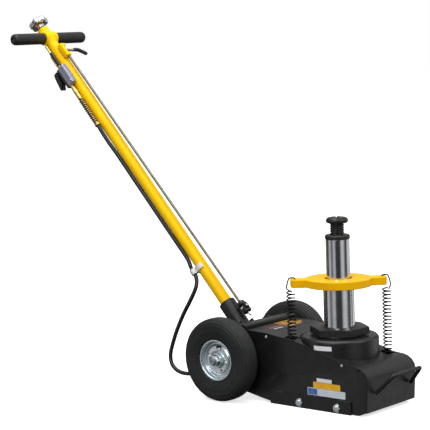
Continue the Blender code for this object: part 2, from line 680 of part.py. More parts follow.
def build():
    clearScene()
    pivot = handle_pivot()
    frame_plates()
    covers()
    carry_handle()
    lift_cylinder()
    first_stage()
    second_stage()
    saddle()
    return_spring("return_spring_left", -1, 0.1365)
    return_spring("return_spring_right", 1, 0.1065)
    wheel("left", -1)
    wheel("right", 1)
    axle()
    power_unit()
    handle_lower(pivot)
    handle_upper(pivot)
    release_gear(pivot)
    air_valve(pivot)
    air_hose(pivot)
    hose_loop(pivot)


build()
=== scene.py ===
# Axle jack: camera, studio, materials and the detailed pieces that ride on the CAD frame.
# Metres, +Z up, +X forwards. Left is -Y, the side that the camera sees.
import json
from math import atan2, cos, hypot, pi, radians, sin, sqrt

import bmesh
import bpy
from mathutils import Euler, Matrix, Vector


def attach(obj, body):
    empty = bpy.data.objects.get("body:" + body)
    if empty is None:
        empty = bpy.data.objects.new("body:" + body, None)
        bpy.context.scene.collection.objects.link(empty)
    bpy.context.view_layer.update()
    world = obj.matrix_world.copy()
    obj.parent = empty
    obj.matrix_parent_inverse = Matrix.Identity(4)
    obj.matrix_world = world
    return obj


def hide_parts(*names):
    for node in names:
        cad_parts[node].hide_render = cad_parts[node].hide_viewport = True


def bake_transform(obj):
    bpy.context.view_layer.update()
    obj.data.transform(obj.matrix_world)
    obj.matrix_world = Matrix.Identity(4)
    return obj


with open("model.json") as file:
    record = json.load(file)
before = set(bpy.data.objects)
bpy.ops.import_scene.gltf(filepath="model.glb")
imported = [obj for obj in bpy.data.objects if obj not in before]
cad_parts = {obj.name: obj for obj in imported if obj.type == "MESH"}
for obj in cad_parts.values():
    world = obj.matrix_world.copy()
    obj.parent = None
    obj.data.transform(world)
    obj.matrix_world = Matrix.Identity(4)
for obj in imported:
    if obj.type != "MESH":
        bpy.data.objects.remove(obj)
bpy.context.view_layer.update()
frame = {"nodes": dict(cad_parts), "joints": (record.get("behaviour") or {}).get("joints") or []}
nodes = frame["nodes"]
joints = {joint["name"]: joint for joint in frame["joints"]}
print("frame loaded:", len(nodes), "nodes")

axle = Vector(joints["handle_tilt"]["pos_m"])
up = Vector(joints["handle_lock"]["axis"]).normalized()
out = Vector((up.z, 0, -up.x))
handleFrame = Matrix(((out.x, 0, up.x, axle.x), (0, 1, 0, 0), (out.z, 0, up.z, axle.z), (0, 0, 0, 1)))
worldFrame = Matrix.Identity(4)
springBearing = radians(42.3)


def hexColour(code):
    channels = [int(code[start:start + 2], 16) / 255 for start in (1, 3, 5)]
    flat = [c / 12.92 if c <= 0.04045 else ((c + 0.055) / 1.055) ** 2.4 for c in channels]
    return (*flat, 1.0)


def add(tree, kind, inputs=None, **settings):
    # one node with its settings, its constants and its links
    node = tree.nodes.new(kind)
    for key, value in settings.items():
        setattr(node, key, value)
    for key, value in (inputs or {}).items():
        if isinstance(value, bpy.types.Node):
            tree.links.new(value.outputs[0], node.inputs[key])
        elif isinstance(value, bpy.types.NodeSocket):
            tree.links.new(value, node.inputs[key])
        else:
            node.inputs[key].default_value = value
    return node


# Camera and studio
view = {"position": (2.2782, -3.0451, 0.8860), "yaw": 0.71666, "pitch": 0.11398, "roll": -0.033108}
view["lens"] = 137.8


def makeCamera():
    yaw, pitch, roll = view["yaw"], view["pitch"], view["roll"]
    look = Vector((-sin(yaw) * cos(pitch), cos(yaw) * cos(pitch), -sin(pitch)))
    right = Vector((cos(yaw), sin(yaw), 0))
    over = right.cross(look)
    turnedRight = cos(roll) * right + sin(roll) * over
    turnedUp = -sin(roll) * right + cos(roll) * over
    data = bpy.data.cameras.new("camera")
    data.lens = view["lens"]
    data.sensor_width = 36
    camera = bpy.data.objects.new("camera", data)
    bpy.context.scene.collection.objects.link(camera)
    turn = Matrix((turnedRight, turnedUp, -look)).transposed().to_4x4()
    camera.matrix_world = Matrix.Translation(view["position"]) @ turn
    bpy.context.scene.camera = camera


studio = {"floor": 40.0, "sink": 0.0004, "glow": 0.66, "below": 0.07, "above": 0.75, "topPower": 62,
          "topSize": 2.6, "sidePower": 26, "sideSize": 1.2}
# Bands of light and dark round the room, in degrees from the camera's bearing, for the plated parts
bands = [(-180, 0.40), (-150, 0.14), (-128, 0.07), (-106, 0.09), (-93, 0.58), (-78, 0.56)]
bands += [(-66, 0.15), (-56, 0.26), (-42, 0.58), (-31, 0.50), (-20, 0.055), (16, 0.050)]
bands += [(32, 0.62), (50, 0.74), (63, 0.30), (73, 0.085), (86, 0.10), (98, 0.62), (128, 0.85)]
bands += [(150, 0.45), (180, 0.40)]


def makeStudio():
    floor = bmesh.new()
    half = studio["floor"] / 2
    signs = ((-1, -1), (1, -1), (1, 1), (-1, 1))
    corners = [floor.verts.new((a * half, b * half, -studio["sink"])) for a, b in signs]
    floor.faces.new(corners)
    data = bpy.data.meshes.new("floor")
    floor.to_mesh(data)
    floor.free()
    pale = bpy.data.materials.new("pale_matt_floor")
    pale.use_nodes = True
    shader = pale.node_tree.nodes["Principled BSDF"]
    shader.inputs["Base Color"].default_value = hexColour("#f6f6f6")
    shader.inputs["Roughness"].default_value = 0.9
    shader.inputs["Specular IOR Level"].default_value = 0.1
    shader.inputs["Emission Color"].default_value = hexColour("#ffffff")
    shader.inputs["Emission Strength"].default_value = studio["glow"]
    data.materials.append(pale)
    ground = bpy.data.objects.new("floor", data)
    bpy.context.scene.collection.objects.link(ground)
    ground.visible_glossy = False
    ground.visible_diffuse = False

    lamps = [("top_softbox", (-0.3, -0.4, 3.0), studio["topPower"], studio["topSize"])]
    lamps += [("right_softbox", (2.6, 0.6, 1.9), studio["sidePower"], studio["sideSize"])]
    lamps += [("front_softbox", (0.9, -2.9, 1.8), studio["sidePower"] * 1.1, studio["sideSize"])]
    for name, place, power, size in lamps:
        lamp = bpy.data.lights.new(name, "AREA")
        lamp.energy = power
        lamp.size = size
        light = bpy.data.objects.new(name, lamp)
        bpy.context.scene.collection.objects.link(light)
        aim = (Vector((-0.3, 0, 0.3)) - Vector(place)).to_track_quat("-Z", "Y")
        light.matrix_world = Matrix.Translation(place) @ aim.to_matrix().to_4x4()

    room = bpy.data.worlds.new("studio")
    bpy.context.scene.world = room
    room.use_nodes = True
    tree = room.node_tree
    tree.nodes.clear()
    way = add(tree, "ShaderNodeSeparateXYZ", {0: add(tree, "ShaderNodeTexCoord").outputs["Generated"]})
    bearing = add(tree, "ShaderNodeMath", {0: way.outputs["Y"], 1: way.outputs["X"]}, operation="ARCTAN2")
    start = atan2(view["position"][1], view["position"][0] + 0.2)
    share = add(tree, "ShaderNodeMath", {0: bearing, 1: 2 * pi - start + pi}, operation="ADD")
    share = add(tree, "ShaderNodeMath", {0: share, 1: 2 * pi}, operation="DIVIDE")
    share = add(tree, "ShaderNodeMath", {0: share}, operation="FRACT")
    ramp = add(tree, "ShaderNodeValToRGB", {0: share})
    steps = ramp.color_ramp.elements
    while len(steps) < len(bands):
        steps.new(0.5)
    for step, (angle, level) in zip(steps, bands):
        step.position = (angle + 180) / 360
        step.color = (level, level, level, 1)
    low = add(tree, "ShaderNodeMapRange", {0: way.outputs["Z"], 1: -0.30, 2: -0.62, 3: 0.0, 4: 1.0})
    low = add(tree, "ShaderNodeMix", {0: low, 6: ramp, 7: (*[studio["below"]] * 3, 1)}, data_type="RGBA")
    high = add(tree, "ShaderNodeMapRange", {0: way.outputs["Z"], 1: 0.45, 2: 0.80, 3: 0.0, 4: 1.0})
    mixed = add(tree, "ShaderNodeMix", {0: high, 6: low.outputs[2], 7: (*[studio["above"]] * 3, 1)},
                data_type="RGBA")
    seen = add(tree, "ShaderNodeLightPath").outputs["Is Camera Ray"]
    final = add(tree, "ShaderNodeMix", {0: seen, 6: mixed.outputs[2], 7: (1, 1, 1, 1)}, data_type="RGBA")
    glow = add(tree, "ShaderNodeBackground", {0: final.outputs[2], 1: 1.0})
    add(tree, "ShaderNodeOutputWorld", {0: glow})
    bpy.context.scene.view_settings.view_transform = "Standard"


makeCamera()
makeStudio()
print("camera and studio ready")


# Shape helpers: every one of them adds to a bmesh, in a frame of its own
def smoothRoute(points, steps):
    ends = [2 * Vector(points[0]) - Vector(points[1])]
    ends += [Vector(point) for point in points]
    ends += [2 * ends[-1] - ends[-2]]
    route = []
    for a, b, c, d in zip(ends, ends[1:], ends[2:], ends[3:]):
        for step in range(steps):
            t = step / steps
            middle = 2 * b + (c - a) * t + (2 * a - 5 * b + 4 * c - d) * t * t
            route.append((middle + (3 * b - a - 3 * c + d) * t**3) / 2)
    route.append(ends[-2])
    return route


def rounded(section, radius, steps=3):
    # the same line with every inner corner turned into a small fillet
    line = [Vector(point) for point in section]
    made = [line[0]]
    for before, here, after in zip(line, line[1:], line[2:]):
        cut = min(radius, (before - here).length * 0.45, (after - here).length * 0.45)
        start = here + (before - here).normalized() * cut
        end = here + (after - here).normalized() * cut
        for step in range(steps + 1):
            t = step / steps
            made.append(start * (1 - t) ** 2 + here * 2 * t * (1 - t) + end * t * t)
    made.append(line[-1])
    return made


def turn(work, section, segments=48, place=worldFrame, ring=None):
    # a section of (radius, height) points turned about Z; a ring's section closes on itself
    closed = section[0][0] != 0 if ring is None else ring
    rows = []
    for radius, height in section:
        count = 1 if radius < 1e-7 else segments
        row = []
        for step in range(count):
            angle = 2 * pi * step / segments
            row.append(work.verts.new(place @ Vector((radius * cos(angle), radius * sin(angle), height))))
        rows.append(row)
    pairs = list(zip(rows, rows[1:]))
    if closed:
        pairs.append((rows[-1], rows[0]))
    for low, high in pairs:
        for step in range(segments):
            after = (step + 1) % segments
            corners = [low[step % len(low)], low[after % len(low)]]
            corners += [high[after % len(high)], high[step % len(high)]]
            face = list(dict.fromkeys(corners))
            if len(face) > 2:
                work.faces.new(face)
    return work


def prism(work, outline, low, high, place=worldFrame, along="Z"):
    ends = []
    for level in (low, high):
        if along == "Z":
            ends.append([work.verts.new(place @ Vector((a, b, level))) for a, b in outline])
        else:
            ends.append([work.verts.new(place @ Vector((a, level, b))) for a, b in outline])
    work.faces.new(ends[0])
    work.faces.new(ends[1][::-1])
    for step in range(len(outline)):
        after = (step + 1) % len(outline)
        work.faces.new([ends[0][step], ends[0][after], ends[1][after], ends[1][step]])
    return work


def roundedBox(low, high, radius, steps=3):
    # a rectangle with rounded corners, as an outline
    corners = [(high[0], high[1], 0), (low[0], high[1], 1), (low[0], low[1], 2), (high[0], low[1], 3)]
    outline = []
    for a, b, quarter in corners:
        centreA = a - radius if quarter in (0, 3) else a + radius
        centreB = b - radius if quarter in (0, 1) else b + radius
        for step in range(steps + 1):
            angle = pi / 2 * (quarter + step / steps)
            outline.append((centreA + radius * cos(angle), centreB + radius * sin(angle)))
    return outline


def bar(work, route, radius, sides=16, ends=True):
    # a round bar or tube along the points, with the way round and along it as its UV map
    route = [Vector(point) for point in route]
    pattern = work.loops.layers.uv.verify()
    side = Vector((0, 0, 1)).cross(route[1] - route[0])
    if side.length < 1e-6:
        side = Vector((1, 0, 0))
    rows = []
    reach = [0.0]
    for step, point in enumerate(route):
        ahead = (route[min(step + 1, len(route) - 1)] - route[max(step - 1, 0)]).normalized()
        side = (side - ahead * side.dot(ahead)).normalized()
        other = ahead.cross(side)
        size = radius[step] if isinstance(radius, list) else radius
        row = []
        for number in range(sides):
            angle = 2 * pi * number / sides
            row.append(work.verts.new(point + (side * cos(angle) + other * sin(angle)) * size))
        rows.append(row)
        if step:
            reach.append(reach[-1] + (point - route[step - 1]).length)
    for step, (low, high) in enumerate(zip(rows, rows[1:])):
        for number in range(sides):
            after = (number + 1) % sides
            face = work.faces.new([low[number], low[after], high[after], high[number]])
            turns = (number, number + 1, number + 1, number)
            lengths = (reach[step], reach[step], reach[step + 1], reach[step + 1])
            for loop, around, length in zip(face.loops, turns, lengths):
                loop[pattern].uv = (around / sides, length)
    if ends:
        for row, point in ((rows[0][::-1], route[0]), (rows[-1], route[-1])):
            work.faces.new(row)
    return work


def hexagon(reach, spin=0.0):
    return [(reach * cos(spin + step * pi / 3), reach * sin(spin + step * pi / 3)) for step in range(6)]


def meshOf(work, name, sharp=32, outwards=True):
    if outwards:
        bmesh.ops.recalc_face_normals(work, faces=work.faces)
    data = bpy.data.meshes.new(name)
    work.to_mesh(data)
    work.free()
    data.shade_smooth()
    data.set_sharp_from_angle(angle=radians(sharp))
    return data


def evaluated(made):
    bpy.context.view_layer.update()
    graph = bpy.context.evaluated_depsgraph_get()
    plain = bpy.data.meshes.new_from_object(made.evaluated_get(graph))
    bpy.data.objects.remove(made)
    return plain


def carved(data, cutters):
    # the mesh with every cutter mesh taken out of it
    made = bpy.data.objects.new("blank", data)
    bpy.context.scene.collection.objects.link(made)
    tools = []
    for cutter in cutters:
        tool = bpy.data.objects.new("cutter", cutter)
        bpy.context.scene.collection.objects.link(tool)
        cut = made.modifiers.new("cut", "BOOLEAN")
        cut.operation = "DIFFERENCE"
        cut.solver = "EXACT"
        cut.object = tool
        tools.append(tool)
    plain = evaluated(made)
    for tool in tools:
        bpy.data.objects.remove(tool)
    work = bmesh.new()
    work.from_mesh(plain)
    bmesh.ops.remove_doubles(work, verts=work.verts, dist=2e-6)
    bmesh.ops.holes_fill(work, edges=work.edges)
    work.to_mesh(plain)
    work.free()
    return plain


def cadShape(node):
    # a merged copy of a CAD node's loose triangles, with its flat faces whole again
    work = bmesh.new()
    work.from_mesh(nodes[node].data)
    bmesh.ops.remove_doubles(work, verts=work.verts, dist=1e-5)
    bmesh.ops.dissolve_limit(work, angle_limit=radians(0.6), verts=work.verts, edges=work.edges)
    return work


def piece(name, data, finish, body, stands=(), bevel=0.0, segments=2):
    material, slot = finish
    data.materials.clear()
    data.materials.append(material)
    made = bpy.data.objects.new(name, data)
    bpy.context.scene.collection.objects.link(made)
    if bevel:
        edge = made.modifiers.new("edge", "BEVEL")
        edge.width = bevel
        edge.segments = segments
        edge.limit_method = "ANGLE"
        edge.angle_limit = radians(30)
        edge.harden_normals = True
    if body:
        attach(made, body)
    if stands:
        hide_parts(*stands)
    return made


def standIn(node, data, finish, body, **more):
    # the piece that takes the place of this CAD node
    stem, _, side = node.rpartition("_")
    name = stem + "_piece_" + side if side in ("left", "right") else node + "_piece"
    return piece(name, data, finish, body, stands=(node,), **more)


def lathed(*shape, sharp=32, **more):
    # a whole mesh turned from one section
    return meshOf(turn(bmesh.new(), *shape, **more), "lathed", sharp)


def slab(*shape, **more):
    # a whole mesh raised from one outline
    return meshOf(prism(bmesh.new(), *shape, **more), "slab")


def grown(tree, values):
    # runs a Geometry Nodes tree with these inputs and returns its plain mesh
    made = bpy.data.objects.new("grown", bpy.data.meshes.new("grown"))
    bpy.context.scene.collection.objects.link(made)
    run = made.modifiers.new("grow", "NODES")
    run.node_group = tree
    for item in tree.interface.items_tree:
        if item.item_type == "SOCKET" and item.in_out == "INPUT" and item.name in values:
            run[item.identifier] = values[item.name]
    return evaluated(made)


# Materials
def surface(name, slot, colours, metallic=0.0, rough=(0.4, 0.5), ior=1.5, patch=0.03,
            grain=(0.002, 0.00002), scuff=None, stretch=(6, 60, 60), pattern="Object", gloss=0.5):
    # colours vary in patches; rough is the range of the smudges; grain is its size and its height in
    # metres; scuff is a colour and how much of the surface it reaches, in marks along the first axis
    made = bpy.data.materials.new(name)
    made.use_nodes = True
    tree = made.node_tree
    shader = tree.nodes["Principled BSDF"]
    place = add(tree, "ShaderNodeTexCoord").outputs[pattern]
    cloud = add(tree, "ShaderNodeTexNoise", {"Vector": place, "Scale": 1 / patch, "Detail": 4.0})
    cloud = add(tree, "ShaderNodeMapRange", {0: cloud, 1: 0.35, 2: 0.65, 3: 0.0, 4: 1.0})
    first, second = (hexColour(code) for code in colours)
    tint = add(tree, "ShaderNodeMix", {0: cloud, 6: first, 7: second}, data_type="RGBA").outputs[2]
    smudge = add(tree, "ShaderNodeTexNoise", {"Vector": place, "Scale": 2.6 / patch, "Detail": 6.0})
    smudge = add(tree, "ShaderNodeMapRange", {0: smudge, 1: 0.3, 2: 0.7, 3: rough[0], 4: rough[1]})
    if scuff:
        lined = add(tree, "ShaderNodeMapping", {0: place, "Scale": stretch})
        marks = add(tree, "ShaderNodeTexNoise", {"Vector": lined, "Scale": 1.6, "Detail": 8.0})
        marks = add(tree, "ShaderNodeMapRange", {0: marks, 1: 0.62, 2: 0.70, 3: 0.0, 4: scuff[1]})
        tint = add(tree, "ShaderNodeMix", {0: marks, 6: tint, 7: hexColour(scuff[0])}, data_type="RGBA")
        tint = tint.outputs[2]
        smudge = add(tree, "ShaderNodeMath", {0: smudge, 1: marks}, operation="ADD", use_clamp=True)
    tree.links.new(tint, shader.inputs["Base Color"])
    tree.links.new(smudge.outputs[0], shader.inputs["Roughness"])
    bumps = add(tree, "ShaderNodeTexNoise", {"Vector": place, "Scale": 1 / grain[0], "Detail": 3.0})
    bumps = add(tree, "ShaderNodeBump", {"Height": bumps, "Distance": grain[1], "Strength": 1.0})
    tree.links.new(bumps.outputs[0], shader.inputs["Normal"])
    shader.inputs["Metallic"].default_value = metallic
    if not metallic:
        shader.inputs["IOR"].default_value = ior
        shader.inputs["Specular IOR Level"].default_value = gloss
    return made, slot


# Powder-coated sheet steel: a satin black skin with fine orange peel and faint grey handling marks
powderCoat = surface("black_powder_coated_steel", "black_paint", ("#151516", "#1b1b1c"), rough=(0.32, 0.46),
                     grain=(0.0022, 0.000020), scuff=("#3c3c3d", 0.14), stretch=(14, 30, 90), gloss=0.42)
# Gloss black enamel over cast iron: deeper black, wetter shine, softer casting waves
blackEnamel = surface("black_enamelled_cast_iron", "black_paint", ("#131314", "#19191a"),
                      rough=(0.30, 0.42), grain=(0.004, 0.000022), scuff=("#3c3c3d", 0.12),
                      stretch=(40, 40, 40))
# Yellow stoving enamel on drawn tube: an even satin gloss, warm, a little orange in the thin places
yellowTube = surface("yellow_enamelled_tube", "yellow_paint", ("#ffcd00", "#ffc700"), rough=(0.30, 0.40),
                     patch=0.10, grain=(0.004, 0.000001), scuff=("#b87c04", 0.10), stretch=(20, 20, 60),
                     gloss=0.14)
# The same enamel on a sand casting: a pitted skin, duller
yellowCast = surface("yellow_enamelled_casting", "yellow_paint", ("#ffc400", "#ffba00"), rough=(0.34, 0.46),
                     grain=(0.0028, 0.00002), scuff=("#a87404", 0.15), stretch=(60, 60, 60), gloss=0.12)
# Hard chrome, ground and polished: a mirror with hair-fine rings and a trace of oil
hardChrome = surface("polished_hard_chrome", "hard_chrome", ("#d2d3d6", "#c6c7cb"), metallic=1.0,
                     rough=(0.07, 0.13), patch=0.02, grain=(0.0012, 0.000003), scuff=("#8e8f93", 0.10),
                     stretch=(3, 3, 420))
# Bright chrome plate on small fittings
brightChrome = surface("bright_chrome_plate", "hard_chrome", ("#dadbde", "#cfd0d4"), metallic=1.0,
                       rough=(0.08, 0.16), patch=0.012, grain=(0.002, 0.000005), scuff=("#86878b", 0.12),
                       stretch=(90, 90, 90))
# Cold-drawn steel rod, lightly oiled: darker than plate, with a faint warm film
drawnSteel = surface("cold_drawn_steel", "hard_chrome", ("#85806f", "#726d60"), metallic=1.0,
                     rough=(0.24, 0.36), patch=0.012, grain=(0.002, 0.000006), scuff=("#56524a", 0.2),
                     stretch=(60, 60, 200))
# Blue-passivated zinc on pressed steel: cool grey with faint cloudy spangle
blueZinc = surface("blue_zinc_plated_steel", "zinc_plate", ("#e6eef2", "#ccd8de"), metallic=1.0,
                   rough=(0.22, 0.34), patch=0.014, grain=(0.0030, 0.000008), scuff=("#8c9196", 0.2),
                   stretch=(50, 50, 50))
# Chemically blackened steel: oily dark brown-black with rubbed grey corners
blackOxide = surface("blackened_steel", "black_oxide", ("#323132", "#3e3c3b"), metallic=0.75,
                     rough=(0.30, 0.46), patch=0.012, grain=(0.0012, 0.000018), scuff=("#77777a", 0.22),
                     stretch=(40, 40, 160))
# Black-painted spring wire: thin paint over round wire, chipped to grey in places
springPaint = surface("black_painted_spring_wire", "black_oxide", ("#0a0a0b", "#101011"),
                      rough=(0.50, 0.64), patch=0.01, grain=(0.0010, 0.00001), scuff=("#4a4a4c", 0.2),
                      stretch=(90, 90, 90), gloss=0.2)
# Bare turned steel under a film of oil: grey, with tool lines
turnedSteel = surface("turned_steel", "bare_steel", ("#a3a4a6", "#8f9093"), metallic=1.0,
                      rough=(0.22, 0.36), patch=0.012, grain=(0.0009, 0.000012), scuff=("#5d5c5b", 0.3),
                      stretch=(30, 300, 30))
# Machined brass, lightly tarnished
machinedBrass = surface("machined_brass", "brass", ("#e3c684", "#c9a860"), metallic=1.0, rough=(0.20, 0.36),
                        patch=0.006, grain=(0.0008, 0.00001), scuff=("#6d5424", 0.3),
                        stretch=(120, 120, 120))
# Cast aluminium with a pale violet anodised skin
violetAlloy = surface("violet_anodised_aluminium", "valve_alloy", ("#a6a8ba", "#9698ad"), metallic=0.55,
                      rough=(0.36, 0.50), patch=0.01, grain=(0.0008, 0.00002), scuff=("#7b7c8c", 0.2),
                      stretch=(80, 80, 80))
# Moulded solid tyre rubber: dull, greyed with bloom and dust, slightly grainy
tyreRubber = surface("moulded_tyre_rubber", "tyre_rubber", ("#212223", "#2a2b2c"), rough=(0.55, 0.78),
                     ior=1.52, patch=0.05, grain=(0.0016, 0.00007), scuff=("#454544", 0.3),
                     stretch=(16, 60, 16), gloss=0.3)
# Soft grip rubber: deep black, fine stipple
gripRubber = surface("moulded_grip_rubber", "grip_rubber", ("#101011", "#161617"), rough=(0.38, 0.55),
                     ior=1.52, patch=0.02, grain=(0.0011, 0.00004), scuff=("#3c3c3c", 0.2),
                     stretch=(40, 40, 40))
# Extruded hose rubber: satin, with its wrapped cloth cover just showing, on the hose's own UV map
hoseRubber = surface("wrapped_hose_rubber", "hose_rubber", ("#121111", "#1a1918"), rough=(0.34, 0.48),
                     ior=1.52, patch=0.25, grain=(0.05, 0.0002), scuff=("#45413f", 0.2),
                     stretch=(2, 150, 1), pattern="UV")
# Injection-moulded nylon, black and natural
blackNylon = surface("moulded_black_nylon", "black_plastic", ("#101011", "#161617"), rough=(0.30, 0.42),
                     patch=0.012, grain=(0.0009, 0.00002), scuff=("#3a3a3a", 0.15), stretch=(60, 60, 60))
whiteNylon = surface("moulded_white_nylon", "white_plastic", ("#e9e8e2", "#dcdad2"), rough=(0.34, 0.46),
                     patch=0.01, grain=(0.0009, 0.00002), scuff=("#a9a59a", 0.25), stretch=(60, 60, 60))
# Printed vinyl label stock, blank: smooth, a little creased and rubbed
vinyl = {}
for colour, pair in {"white": ("#f6f6fa", "#eeeef4"), "amber": ("#ffc01e", "#f7b014"),
                     "blue": ("#4c78b4", "#426ca8"), "pale": ("#dfe5ee", "#d4dbe6"),
                     "dark": ("#2a2524", "#332d2b"), "orange": ("#e2622a", "#d65822")}.items():
    vinyl[colour] = surface(colour + "_vinyl_label", "white_plastic", pair, rough=(0.30, 0.42), patch=0.02,
                            grain=(0.006, 0.00003), scuff=("#8c8a86", 0.18), stretch=(60, 60, 60))
print("materials ready")


# Geometry Nodes trees for what repeats
def newTree(name, inputs):
    tree = bpy.data.node_groups.new(name, "GeometryNodeTree")
    tree.interface.new_socket("Geometry", in_out="OUTPUT", socket_type="NodeSocketGeometry")
    for label, kind in inputs.items():
        tree.interface.new_socket(label, in_out="INPUT", socket_type="NodeSocket" + kind)
    return tree, add(tree, "NodeGroupInput")


def closeTree(tree, source, shape):
    whole = add(tree, "GeometryNodeRealizeInstances", {0: shape})
    whole = add(tree, "GeometryNodeSetMaterial", {"Geometry": whole,
                                                  "Material": source.outputs["Material"]})
    add(tree, "NodeGroupOutput", {0: whole})
    return tree


def coilTree():
    tree, source = newTree("coil", {"Turns": "Float", "Coil radius": "Float", "Height": "Float",
                                    "Wire radius": "Float", "Steps": "Int", "Material": "Material"})
    turns, size, height, wire, steps = source.outputs[:5]
    path = add(tree, "GeometryNodeCurveSpiral", {"Resolution": steps, "Rotations": turns,
                                                 "Start Radius": size, "End Radius": size,
                                                 "Height": height})
    ring = add(tree, "GeometryNodeCurvePrimitiveCircle", {"Resolution": 8, "Radius": wire})
    coil = add(tree, "GeometryNodeCurveToMesh", {0: path, 1: ring, "Fill Caps": True})
    return closeTree(tree, source, coil)


def boltTree():
    # a row of hexagon bolts with washers, on a left and a right face
    tree, source = newTree("bolts", {"First": "Vector", "Last": "Vector", "Count": "Int", "Face": "Float",
                                     "Washer radius": "Float", "Washer height": "Float",
                                     "Head radius": "Float", "Head height": "Float", "Sides": "Int",
                                     "Material": "Material"})
    first, last, count, face, washer, washerHigh, head, headHigh, sides = source.outputs[:9]
    rise = add(tree, "ShaderNodeMath", {0: washerHigh, 1: 0.5}, operation="MULTIPLY")
    rise = add(tree, "ShaderNodeCombineXYZ", {2: rise})
    disc = add(tree, "GeometryNodeMeshCylinder", {"Vertices": 24, "Radius": washer, "Depth": washerHigh})
    disc = add(tree, "GeometryNodeTransform", {"Geometry": disc, "Translation": rise})
    rise = add(tree, "ShaderNodeMath", {0: headHigh, 1: 0.4, 2: washerHigh}, operation="MULTIPLY_ADD")
    rise = add(tree, "ShaderNodeCombineXYZ", {2: rise})
    depth = add(tree, "ShaderNodeMath", {0: headHigh, 1: 0.8}, operation="MULTIPLY")
    block = add(tree, "GeometryNodeMeshCylinder", {"Vertices": sides, "Radius": head, "Depth": depth})
    block = add(tree, "GeometryNodeTransform", {"Geometry": block, "Translation": rise})
    rise = add(tree, "ShaderNodeMath", {0: headHigh, 1: 0.8, 2: washerHigh}, operation="MULTIPLY_ADD")
    rise = add(tree, "ShaderNodeCombineXYZ", {2: rise})
    depth = add(tree, "ShaderNodeMath", {0: headHigh, 1: 0.2}, operation="MULTIPLY")
    wide = add(tree, "ShaderNodeMath", {0: head, 1: 0.94}, operation="MULTIPLY")
    narrow = add(tree, "ShaderNodeMath", {0: head, 1: 0.72}, operation="MULTIPLY")
    crown = add(tree, "GeometryNodeMeshCone", {"Vertices": sides, "Radius Bottom": wide,
                                               "Radius Top": narrow, "Depth": depth})
    crown = add(tree, "GeometryNodeTransform", {"Geometry": crown, "Translation": rise})
    bolt = add(tree, "GeometryNodeJoinGeometry")
    for part in (crown, block, disc):
        tree.links.new(part.outputs[0], bolt.inputs[0])
    both = add(tree, "GeometryNodeJoinGeometry")
    for side in (-1, 1):
        away = add(tree, "ShaderNodeMath", {0: face, 1: side}, operation="MULTIPLY")
        away = add(tree, "ShaderNodeCombineXYZ", {1: away})
        start = add(tree, "ShaderNodeVectorMath", {0: first, 1: away}, operation="ADD")
        end = add(tree, "ShaderNodeVectorMath", {0: last, 1: away}, operation="ADD")
        row = add(tree, "GeometryNodeMeshLine", {"Count": count, "Start Location": start, "Offset": end},
                  mode="END_POINTS")
        placed = add(tree, "GeometryNodeInstanceOnPoints", {"Points": row, "Instance": bolt,
                                                            "Rotation": (-side * pi / 2, 0, 0.4)})
        tree.links.new(placed.outputs[0], both.inputs[0])
    return closeTree(tree, source, both)


def ridgeTree():
    # ridges round a fitting: knurls and grip ribs, stood on a circle about Z
    tree, source = newTree("ridges", {"Count": "Int", "Radius": "Float", "Size": "Vector",
                                      "Height": "Float", "Material": "Material"})
    count, radius, size, height = source.outputs[:4]
    circle = add(tree, "GeometryNodeMeshCircle", {"Vertices": count, "Radius": radius})
    spot = add(tree, "ShaderNodeSeparateXYZ", {0: add(tree, "GeometryNodeInputPosition")})
    angle = add(tree, "ShaderNodeMath", {0: spot.outputs[1], 1: spot.outputs[0]}, operation="ARCTAN2")
    angle = add(tree, "ShaderNodeCombineXYZ", {2: angle})
    ridge = add(tree, "GeometryNodeMeshCube", {"Size": size})
    placed = add(tree, "GeometryNodeInstanceOnPoints", {"Points": circle, "Instance": ridge,
                                                        "Rotation": angle})
    lifted = add(tree, "ShaderNodeCombineXYZ", {2: height})
    placed = add(tree, "GeometryNodeTransform", {"Geometry": placed, "Translation": lifted})
    return closeTree(tree, source, placed)


def weldTree():
    # a weld bead: overlapping ripples along a line, each a little different
    tree, source = newTree("weld", {"First": "Vector", "Last": "Vector", "Count": "Int", "Size": "Float",
                                    "Seed": "Int", "Material": "Material"})
    first, last, count, size, seed = source.outputs[:5]
    row = add(tree, "GeometryNodeMeshLine", {"Count": count, "Start Location": first, "Offset": last},
              mode="END_POINTS")
    drop = add(tree, "GeometryNodeMeshIcoSphere", {"Radius": size, "Subdivisions": 2})
    vary = add(tree, "FunctionNodeRandomValue", {2: 0.85, 3: 1.12, "Seed": seed}, data_type="FLOAT")
    placed = add(tree, "GeometryNodeInstanceOnPoints", {"Points": row, "Instance": drop,
                                                        "Scale": vary.outputs[1]})
    return closeTree(tree, source, placed)


coil = coilTree()
bolts = boltTree()
ridges = ridgeTree()
weld = weldTree()


def addMesh(work, data, place=worldFrame):
    data.transform(place)
    work.from_mesh(data)
    return work


def aimed(place, spot, angle, axis):
    # the frame moved to a spot in it, then turned about one of its axes
    return place @ Matrix.Translation(spot) @ Matrix.Rotation(angle, 4, axis)


def sideFrame(x, z, side, y):
    # stands at a side face: its Z points outwards
    return Matrix.Translation((x, side * y, z)) @ Matrix.Rotation(-side * pi / 2, 4, "X")


